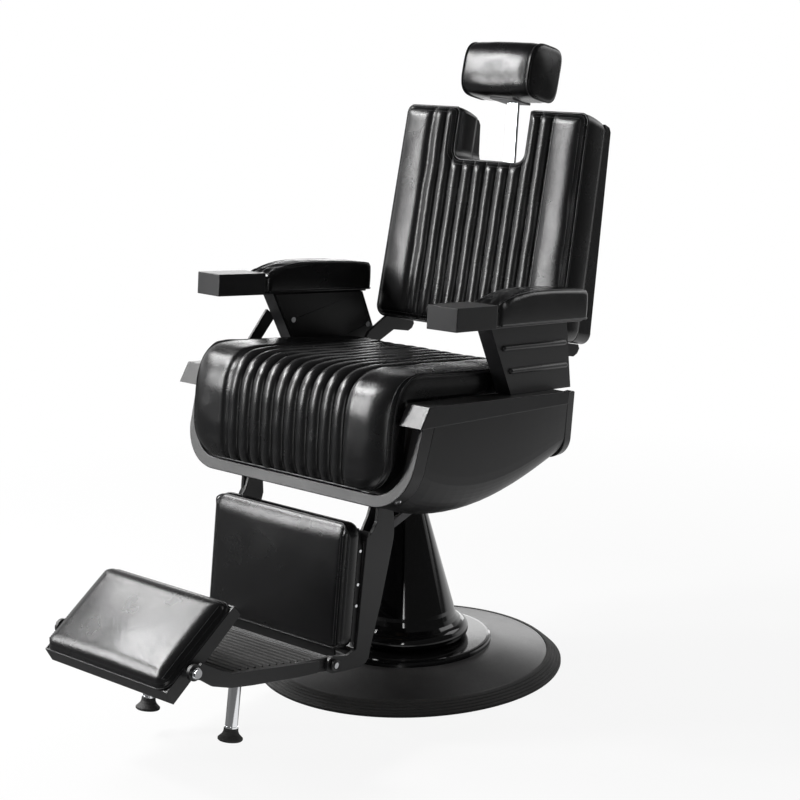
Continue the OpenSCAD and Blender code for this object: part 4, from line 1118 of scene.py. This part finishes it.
# ---------- calf pad and foot pad ----------
class PlainPad(NamedTuple):
    """A plain pad on a board: its sizes, and where its seams and its cord run."""
    half: float        # half its width
    tall: float        # half its height
    corner: float      # radius of its corners
    edge: float        # thickness at its edge
    thick: float       # thickness at its middle
    reach: float       # how far in its edge rolls
    brow: float        # how much longer the roll is along its top
    dent: float        # how deep its side seams are pulled in
    bulge: float       # how far its walls stand out
    seams: tuple       # how far in its rows of stitches run
    seed: float
    cord_inset: float
    cord_height: float = None    # the cord follows the edge where this is left out

    def height(self, gap_x, gap_top, gap_foot, y, ax):
        gap = np.minimum(np.minimum(gap_x, gap_top / self.brow), gap_foot)
        crown = (1 - (ax / self.half) ** 2) * (1 - (y / self.tall) ** 2)
        rise = 0.72 * edge_roll(gap, self.reach) + 0.28 * crown
        return self.edge + (self.thick - self.edge) * rise

    def face(self, columns=90, rows=80):
        """Front sheet of the pad, flat-backed on height zero, as points and faces."""
        u = np.sin(np.linspace(-1, 1, columns) * np.pi / 2) * self.half
        x, t = np.meshgrid(u, swept(np.linspace(0, 1, rows), 0.85), indexing="ij")
        ax = np.abs(x)
        limit = self.tall - corner_drop(ax - (self.half - self.corner), self.corner)
        y = -limit + 2 * limit * t
        inside = limit - np.abs(y)
        high = self.height(self.half - ax, limit - y, limit + y, y, ax)
        face = np.stack([x, y, high], -1)
        face[..., 2] += waver(face, 70, 0.7, self.seed) * edge_roll(
            np.minimum(self.half - ax, inside), self.reach)
        face[..., 2] -= self.dent * bump_at(self.half - ax, 13, 1.8) * edge_roll(inside, 12)
        return face.reshape(-1, 3), grid_faces(columns, rows)

    def cord_path(self):
        """A closed line just inside the edge of the pad."""
        inset = self.cord_inset
        w, t, r = self.half - inset, self.tall - inset, max(1.5, self.corner - inset)
        path = []
        for quarter, (sx, sy) in enumerate(((1, 1), (-1, 1), (-1, -1), (1, -1))):
            for k in range(11):
                a = (quarter + k / 10) * math.pi / 2
                path.append((sx * (w - r) + r * math.cos(a), sy * (t - r) + r * math.sin(a), 0))
        path = even_path(path + path[:1], 4.0)
        ax, y = np.abs(path[:, 0]), path[:, 1]
        top = np.where(y > 0, np.maximum(self.tall - y, inset), self.tall - y)
        foot = np.where(y > 0, 999.0, inset)
        path[:, 2] = self.height(np.maximum(self.half - ax, inset), top, foot, y, ax) + 0.3
        if self.cord_height is not None:
            path[:, 2] = self.cord_height
        return path[:-1]

    def seam_path(self, side, gap):
        y = np.linspace(10 - self.tall, self.tall - 10, 90)
        ax = np.full(90, self.half - gap)
        high = self.height(self.half - ax, self.tall - y, self.tall + y, y, ax) + 0.3
        return np.stack([side * ax, y, high], 1)


def plain_piece(name, node, body, place, pad, cord):
    front, sheet = pad.face()
    points, faces = closed_pad(front, sheet, lambda p: p * (1, 1, 0), bulge=pad.bulge)
    leather = make_piece(name + "_leather", points, faces, place, upholstery_finish(), body)
    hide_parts(node)
    make_cords(name + "_piping", [tube(pad.cord_path(), cord, closed=True)], place, body)
    threads = [stitches(pad.seam_path(side, gap), 3.2, radius=0.45)
               for gap in pad.seams for side in (-1, 1)]
    make_stitches(name + "_stitches", threads, place, body)


class CHAIR_OT_leg_pads(Operator):
    """Makes the calf pad and the cushion of the flip-over foot pad"""
    bl_idname = "chair.leg_pads"
    bl_label = "Calf and foot pads"

    def execute(self, context):
        cord = context.scene.chair_upholstery.piping_radius / MM * 0.8
        calf = PlainPad(half=192, tall=123, corner=26, edge=22, thick=40, reach=24, brow=1.5,
                        dent=1.7, bulge=2.0, seams=(10.5, 15.5), seed=2.2, cord_inset=0.6)
        foot = PlainPad(half=171, tall=98, corner=20, edge=11, thick=32, reach=30, brow=1.0,
                        dent=0.1, bulge=4.6, seams=(6,), seed=7.9, cord_inset=-4.6,
                        cord_height=4.2)
        plain_piece("calf_pad", "calf_pad", "legrest",
                    CALF @ shift(0, -12.2, 108) @ turn("X", 90), calf, cord)
        plain_piece("foot_pad", "pad_cushion", "footpad", FOOT_PAD @ shift(0, 43.5, 7), foot, cord)
        return {"FINISHED"}


# ---------- thin metal and plastic trim ----------
def plate(outline, x0, x1):
    """A flat plate cut to an outline drawn in (y, z), from x0 to x1."""
    count = len(outline)
    points = [(x, y, z) for x in (x0, x1) for y, z in outline]
    faces = [list(range(count))[::-1], list(range(count, 2 * count))]
    faces += [[k, (k + 1) % count, count + (k + 1) % count, count + k] for k in range(count)]
    return points, faces


def hoop_liner(steps=60):
    """A thin sheet behind the front hoop, from one rail round to the other."""
    across = math.cos(math.radians(12))
    high, low = -45 / across, -134 / across
    arc = [(226.5 + 69.5 * math.cos(a), -123.2 + 69.5 * math.sin(a), 0)
           for a in np.radians(np.linspace(-4, -90, 26))]
    outer = [(295.8, high, 0)] + arc + [(0, arc[-1][1], 0)]
    inner = [(262, high, 0), (262, low, 0), (0, low, 0)]
    rings = []
    for path in (outer, inner):
        path = even_path(path, 8)
        k = np.linspace(0, len(path) - 1, steps)
        half = np.stack([np.interp(k, np.arange(len(path)), path[:, i]) for i in (0, 1)], 1)
        rings.append(np.concatenate([half, (half * (-1, 1))[::-1][1:]]))
    count = len(rings[0])
    points = [(x, y, z) for z in (1.5, 3.5) for ring in rings for x, y in ring]
    faces = []
    for a in range(count - 1):
        b = a + 1
        faces += [[a, b, count + b, count + a],
                  [2 * count + a, 3 * count + a, 3 * count + b, 2 * count + b],
                  [a, 2 * count + a, 2 * count + b, b],
                  [count + a, count + b, 3 * count + b, 3 * count + a]]
    faces += [[k, count + k, 3 * count + k, 2 * count + k] for k in (0, count - 1)]
    return points, faces


def elbow_boss(side, around=40):
    """The turned ring round the bolt at an elbow of the legrest."""
    profile = ((197.2, 10.8), (203.5, 10.8), (206.2, 8.6), (206.2, 6.4), (203, 6.0), (197.2, 6.0))
    a = np.linspace(0, 2 * np.pi, around, endpoint=False)
    points = [np.stack([np.full(around, side * x), ELBOW_Y + r * np.cos(a),
                        ELBOW_Z + r * np.sin(a)], 1) for x, r in profile]
    return np.concatenate(points), ring_faces(len(profile), around, closed=True)


class CHAIR_OT_trim(Operator):
    """Makes the hoop's liner, footplate's lip, calf apron and edging, and elbow bosses"""
    bl_idname = "chair.trim"
    bl_label = "Thin trim"

    def execute(self, context):
        dark = plastic_finish()
        hoop = SEAT @ shift(0, -242.2, 0) @ turn("X", 78)
        make_piece("hoop_liner", *hoop_liner(), hoop, dark, "seat", "dark_plastic", smooth=False)

        lip = [(-16, 7.8), (-16, 4.5), (10, 4.5), (13, 0), (14.5, 0), (13.5, 6), (11, 7.8)]
        beads = [tube([(x, y, 8) for x in (-172, -86, 0, 86, 172)], 2.2) for y in (-8.5, 0.5, 8.0)]
        strip = make_piece("footplate_lip", *joined([plate(lip, -180, 180)] + beads), FOOT, dark,
                           "footrest", "dark_plastic", smooth=False)
        soften(strip, 0.0006)

        apron = [(-389, 177), (-385, 177), (-385, 146), (-389, 146)]
        make_piece("calf_apron", *plate(apron, -170, 170), CHAIR, dark, "legrest", "dark_plastic",
                   smooth=False)
        make_piece("elbow_bosses", *joined([elbow_boss(-1), elbow_boss(1)]), CHAIR, dark, "legrest",
                   "dark_plastic")
        edging = [(0.3, 22), (0.3, 196), (5.2, 196), (3.4, 150), (1.9, 84), (1.2, 22)]
        sides = [plate(edging, middle - 3.0, middle + 3.0) for middle in (-190.5, 190.5)]
        make_piece("calf_board_edging", *joined(sides), CALF, dark, "legrest", "dark_plastic",
                   smooth=False)
        return {"FINISHED"}


# ---------- metalwork ----------
def soften(piece, width):
    """Breaks the sharp edges of a piece with a narrow rounded bevel."""
    bevel = piece.modifiers.new("Edge break", "BEVEL")
    bevel.width = width
    bevel.segments = 2
    bevel.limit_method = "ANGLE"
    bevel.harden_normals = True
    return bevel


SHARP = math.radians(28)


def edge_nodes():
    """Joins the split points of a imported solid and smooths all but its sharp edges."""
    name = "Clean edges"
    if name in bpy.data.node_groups:
        return bpy.data.node_groups[name]
    tree = bpy.data.node_groups.new(name, "GeometryNodeTree")
    tree.interface.new_socket(name="Geometry", in_out="INPUT", socket_type="NodeSocketGeometry")
    tree.interface.new_socket(name="Geometry", in_out="OUTPUT", socket_type="NodeSocketGeometry")
    given, result = tree.nodes.new("NodeGroupInput"), tree.nodes.new("NodeGroupOutput")
    plain = tree.nodes.new("GeometryNodeRemoveAttribute")
    plain.inputs["Name"].default_value = "custom_normal"
    weld = tree.nodes.new("GeometryNodeMergeByDistance")
    weld.inputs["Distance"].default_value = 0.00001
    soft = tree.nodes.new("GeometryNodeSetShadeSmooth")
    crease = tree.nodes.new("GeometryNodeSetShadeSmooth")
    crease.domain = "EDGE"
    crease.inputs["Shade Smooth"].default_value = False
    angle = tree.nodes.new("GeometryNodeInputMeshEdgeAngle")
    sharp = tree.nodes.new("FunctionNodeCompare")
    sharp.inputs[1].default_value = SHARP
    link(tree, angle.outputs["Unsigned Angle"], sharp.inputs[0])
    link(tree, given.outputs[0], plain.inputs["Geometry"])
    link(tree, plain.outputs["Geometry"], weld.inputs["Geometry"])
    link(tree, weld.outputs["Geometry"], soft.inputs["Geometry"])
    link(tree, soft.outputs["Geometry"], crease.inputs["Geometry"])
    link(tree, sharp.outputs["Result"], crease.inputs["Selection"])
    link(tree, crease.outputs["Geometry"], result.inputs[0])
    return tree


def finish_node(name, material, edge=None):
    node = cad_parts[name]
    node.data.materials.clear()
    node.data.materials.append(material)
    if edge:
        node.modifiers.new("Clean edges", "NODES").node_group = edge_nodes()
        bevel = soften(node, edge)
        bevel.angle_limit = SHARP
        bevel.use_clamp_overlap = True
        bevel.loop_slide = True


class CHAIR_OT_metalwork(Operator):
    """Gives each metal, rubber and board part its finish and broken edges"""
    bl_idname = "chair.metalwork"
    bl_label = "Metalwork"

    def execute(self, context):
        look = context.scene.chair_metalwork
        edge, fastener_edge = look.edge_break, 0.0006
        paint = paint_finish("Satin frame paint", tuple(look.frame_colour), 0.32, 0.42)
        shell = paint_finish("Side cover paint", tuple(look.cover_colour), 0.34, 0.44)
        # Arm blocks and rails: the side cover paint made a tenth lighter, as painted light for
        # faces that catch the lamps; its lower roughness is its own
        light = paint_finish("Arm and rail paint", toned(look.cover_colour, 1.1), 0.28, 0.36)
        cast = paint_finish("Cast base paint", tuple(look.base_colour), 0.27, 0.36, 0.0022, 0.0003,
                            0.3, dust=0.3)
        gloss = paint_finish("Gloss black enamel", tuple(look.gloss_colour), 0.06, 0.1, 0.01,
                             0.0004, 0.05, wear=0.1, dust=0.03, coat=0.15)
        works = paint_finish("Works grey paint", (0.12, 0.12, 0.125), 0.45, 0.6)
        rubber = paint_finish("Black rubber", (0.012, 0.012, 0.012), 0.6, 0.75, 0.0012, 0.0004, 0.5,
                              wear=0.1, dust=0.3)
        plastic = plastic_finish()
        vinyl = upholstery_finish("Back panel leathercloth", 0.3)
        chrome = chrome_finish()
        board = board_finish()
        for names, material, width in (
                (("seat_frame", "back_arms", "leg_tube", "pedal_bracket", "pump_pedal",
                  "swivel_hub"), paint, edge),
                (("front_hoop", "rear_hoop"), paint, edge * 1.6),
                (("leg_arm_l", "leg_arm_r", "foot_bar_l", "foot_bar_r", "pad_tray"), paint,
                 edge * 0.8),
                (("side_cover_l", "side_cover_r"), shell, None),
                (("side_rail_l", "side_rail_r", "arm_block_l", "arm_block_r"), light,
                 edge * 1.4),
                (("arm_support_l", "arm_support_r"), paint, edge * 0.7),
                (("base_dome",), cast, edge),
                (("base_plate", "pump_cylinder"), works, None),
                (("step_ring", "column_cover"), gloss, None),
                (("base_rim", "pedal_tread", "foot_bells", "foot_plate"), rubber, None),
                (("recline_links", "back_frame", "post_socket", "lock_cylinder",
                  "headrest_bracket"), works, edge * 0.7),
                (("recline_lever", "arm_inner_l", "arm_inner_r", "calf_board"), plastic,
                 edge * 0.7),
                (("pump_gland", "lift_ram", "lock_rod", "foot_legs", "hinge_pins"), chrome, None),
                (("pump_bolts", "seat_screws", "leg_screws", "foot_bolts", "headrest_post"),
                 chrome, fastener_edge),
                (("seat_board", "back_board"), board, edge),
                (("pad_board",), plastic, edge),
                (("back_panel",), vinyl, edge * 2)):
            for name in names:
                finish_node(name, material, width)
        return {"FINISHED"}

# ---------- studio ----------
# name, setting that holds its power, size, place, point that it is aimed at; in metres
LAMPS = (("left_softbox", "left_light", (0.42, 1.2), (-1.86, -2.2, 1.5), (0.15, 0.0, 0.9)),
         ("upper_softbox", "upper_light", (0.45, 0.5), (-1.87, -1.62, 2.54), (0.15, -0.3, 0.6)),
         ("low_softbox", "low_light", (0.9, 0.6), (-1.85, -0.6, 2.08), (0, -0.65, 0.25)),
         ("near_strip", "strip_light", (0.2, 1.3), (1.55, -2.5, 0.95), (0.03, -0.05, 0.3)),
         ("low_rear_softbox", "low_rear_light", (1.9, 0.7), (-1.95, 2.3, 0.8), (0.1, 0.1, 0.3)),
         ("rear_softbox", "rear_light", (1.6, 1.2), (0.9, 2.3, 2.1), (0, 0, 0.6)))
FLOOR_HALF = 90
CAMERA_TARGET, CAMERA_DISTANCE = (0, 0, 0.6), 4.136
CAMERA_AZIMUTH, CAMERA_ELEVATION, CAMERA_ROLL = 43.61, 12.61, -1.31
CAMERA_SENSOR, CAMERA_LENS, CAMERA_SHIFT = 36, 89.24, (-0.0039, -0.0144)


def soft_lamp(name, power, size, place, aim):
    lamp = bpy.data.lights.new(name, "AREA")
    lamp.energy = power
    lamp.shape = "RECTANGLE"
    lamp.size, lamp.size_y = size
    thing = bpy.data.objects.new(name, lamp)
    bpy.context.scene.collection.objects.link(thing)
    thing.location = place
    thing.rotation_euler = (Vector(aim) - Vector(place)).to_track_quat("-Z", "Y").to_euler()


def shader_mix(tree, factor, a, b, output):
    """Mixes two shaders into the tree's output."""
    mix = tree.nodes.new("ShaderNodeMixShader")
    for socket, value in zip(mix.inputs, (factor, a.outputs[0], b.outputs[0])):
        link(tree, value, socket)
    link(tree, mix.outputs[0], tree.nodes.new(output).inputs["Surface"])


def floor_finish(look):
    """Pale floor that keeps the chair's soft shadow. To mirrored rays it is white behind the chair
    and dim in front of it, so that black leather and enamel stay black."""
    material = bpy.data.materials.new("Studio floor")
    tree = node_tree(material)
    place = object_place(tree)
    plain = tree.nodes.new("ShaderNodeBsdfDiffuse")
    pale = tuple(look.floor_colour)
    link(tree, colour_mix(tree, noise_at(tree, place, 3.0, 3.0), toned(pale, 0.99), pale),
         plain.inputs["Color"])
    axes = split_axes(tree, place)
    depth = plus(tree, times(tree, axes["Y"], 0.9), times(tree, axes["X"], 0.4))
    aside = times(tree, minus(tree, axes["X"], 0.7), 0.6, clamp=True)
    behind = times(tree, plus(tree, depth, 0.25, clamp=True), minus(tree, 1.0, aside))
    spot = tree.nodes.new("ShaderNodeVectorMath")
    spot.operation = "DISTANCE"
    link(tree, place, spot.inputs[0])
    spot.inputs[1].default_value = (0.36, -0.56, 0)
    patch = times(tree, minus(tree, 0.3, spot.outputs["Value"]), 12.0, clamp=True)
    behind = math_node(tree, "MAXIMUM", behind, patch)
    out = tree.nodes.new("ShaderNodeVectorMath")
    out.operation = "LENGTH"
    link(tree, place, out.inputs[0])
    clear = times(tree, minus(tree, out.outputs["Value"], 0.9), 0.8, clamp=True)
    rays = tree.nodes.new("ShaderNodeLightPath").outputs
    direct = times(tree, rays["Is Camera Ray"], plus(tree, times(tree, clear, 0.1), 0.9))
    mirrored = times(tree, plus(tree, rays["Is Glossy Ray"], rays["Is Transmission Ray"]), 0.9)
    bright = plus(tree, times(tree, behind, 0.9), 0.1)
    glow = tree.nodes.new("ShaderNodeEmission")
    link(tree, math_node(tree, "MAXIMUM", bright, rays["Is Camera Ray"]), glow.inputs["Strength"])
    shader_mix(tree, plus(tree, direct, mirrored, clamp=True), plain, glow,
               "ShaderNodeOutputMaterial")
    return material


def studio_world():
    """Dim all round, but white to the camera and to mirrored rays low behind the chair."""
    world = bpy.data.worlds.new("Studio")
    tree = node_tree(world)
    dim = node_with(tree, "ShaderNodeBackground", Color=(1, 1, 1, 1), Strength=0.08)
    white = node_with(tree, "ShaderNodeBackground", Color=(1, 1, 1, 1), Strength=1.0)
    axes = split_axes(tree, tree.nodes.new("ShaderNodeTexCoord").outputs["Generated"])
    far = times(tree, minus(tree, axes["Y"], axes["X"]), 3.0, clamp=True)
    low = minus(tree, 1.7, times(tree, axes["Z"], 3.2), clamp=True)
    rays = tree.nodes.new("ShaderNodeLightPath").outputs
    mirrored = times(tree, plus(tree, rays["Is Glossy Ray"], rays["Is Transmission Ray"]),
                     times(tree, far, low))
    shader_mix(tree, plus(tree, rays["Is Camera Ray"], mirrored, clamp=True), dim, white,
               "ShaderNodeOutputWorld")
    return world


def studio_camera():
    az, el, roll = [math.radians(a) for a in (CAMERA_AZIMUTH, CAMERA_ELEVATION, CAMERA_ROLL)]
    back = Vector((math.sin(az) * math.cos(el), -math.cos(az) * math.cos(el), math.sin(el)))
    right = Vector((math.cos(az), math.sin(az), 0))
    up = back.cross(right)
    across = right * math.cos(roll) + up * math.sin(roll)
    above = up * math.cos(roll) - right * math.sin(roll)
    pose = Matrix((across, above, back)).transposed().to_4x4()
    pose.translation = Vector(CAMERA_TARGET) + back * CAMERA_DISTANCE
    lens = bpy.data.cameras.new("camera")
    lens.sensor_width, lens.lens = CAMERA_SENSOR, CAMERA_LENS
    lens.shift_x, lens.shift_y = CAMERA_SHIFT
    camera = bpy.data.objects.new("camera", lens)
    camera.matrix_world = pose
    return camera


class CHAIR_OT_studio(Operator):
    """Lays the pale floor, hangs the soft lamps and sets the camera"""
    bl_idname = "chair.studio"
    bl_label = "Studio"

    def execute(self, context):
        scene = context.scene
        look = scene.chair_studio
        mesh = bpy.data.meshes.new("studio_floor")
        mesh.from_pydata([(-FLOOR_HALF, -FLOOR_HALF, 0), (FLOOR_HALF, -FLOOR_HALF, 0),
                          (FLOOR_HALF, FLOOR_HALF, 0), (-FLOOR_HALF, FLOOR_HALF, 0)],
                         [], [(0, 1, 2, 3)])
        mesh.materials.append(floor_finish(look))
        floor = bpy.data.objects.new("studio_floor", mesh)
        scene.collection.objects.link(floor)
        scene.world = studio_world()
        for name, setting, size, place, aim in LAMPS:
            soft_lamp(name, getattr(look, setting), size, place, aim)
        camera = studio_camera()
        scene.collection.objects.link(camera)
        scene.camera = camera
        scene.view_settings.view_transform = "Standard"
        return {"FINISHED"}


class CHAIR_PT_panel(Panel):
    """The chair's settings, and a button for each group of pieces"""
    bl_label = "Barber chair"
    bl_space_type = "VIEW_3D"
    bl_region_type = "UI"
    bl_category = "Barber chair"

    def draw(self, context):
        for name in GROUPS:
            group = getattr(context.scene, name)
            box = self.layout.box()
            for key in group.__annotations__:
                box.prop(group, key)
        for step in STEPS:
            self.layout.operator(step.bl_idname)


STEPS = (CHAIR_OT_metalwork, CHAIR_OT_trim, CHAIR_OT_seat, CHAIR_OT_back, CHAIR_OT_pillow,
         CHAIR_OT_arm_pads, CHAIR_OT_leg_pads, CHAIR_OT_studio)
GROUPS = {"chair_upholstery": ChairUpholstery, "chair_metalwork": ChairMetalwork,
          "chair_studio": ChairStudio}


def register():
    for group in GROUPS.values():
        bpy.utils.register_class(group)
    for name, group in GROUPS.items():
        setattr(bpy.types.Scene, name, PointerProperty(type=group))
    for step in STEPS + (CHAIR_PT_panel,):
        bpy.utils.register_class(step)


def unregister():
    for step in (CHAIR_PT_panel,) + STEPS:
        bpy.utils.unregister_class(step)
    for name, group in GROUPS.items():
        delattr(bpy.types.Scene, name)
        bpy.utils.unregister_class(group)


def main():
    register()
    for step in STEPS:
        section, action = step.bl_idname.split(".")
        getattr(getattr(bpy.ops, section), action)()
    bpy.context.view_layer.update()


if __name__ == "__main__":
    main()
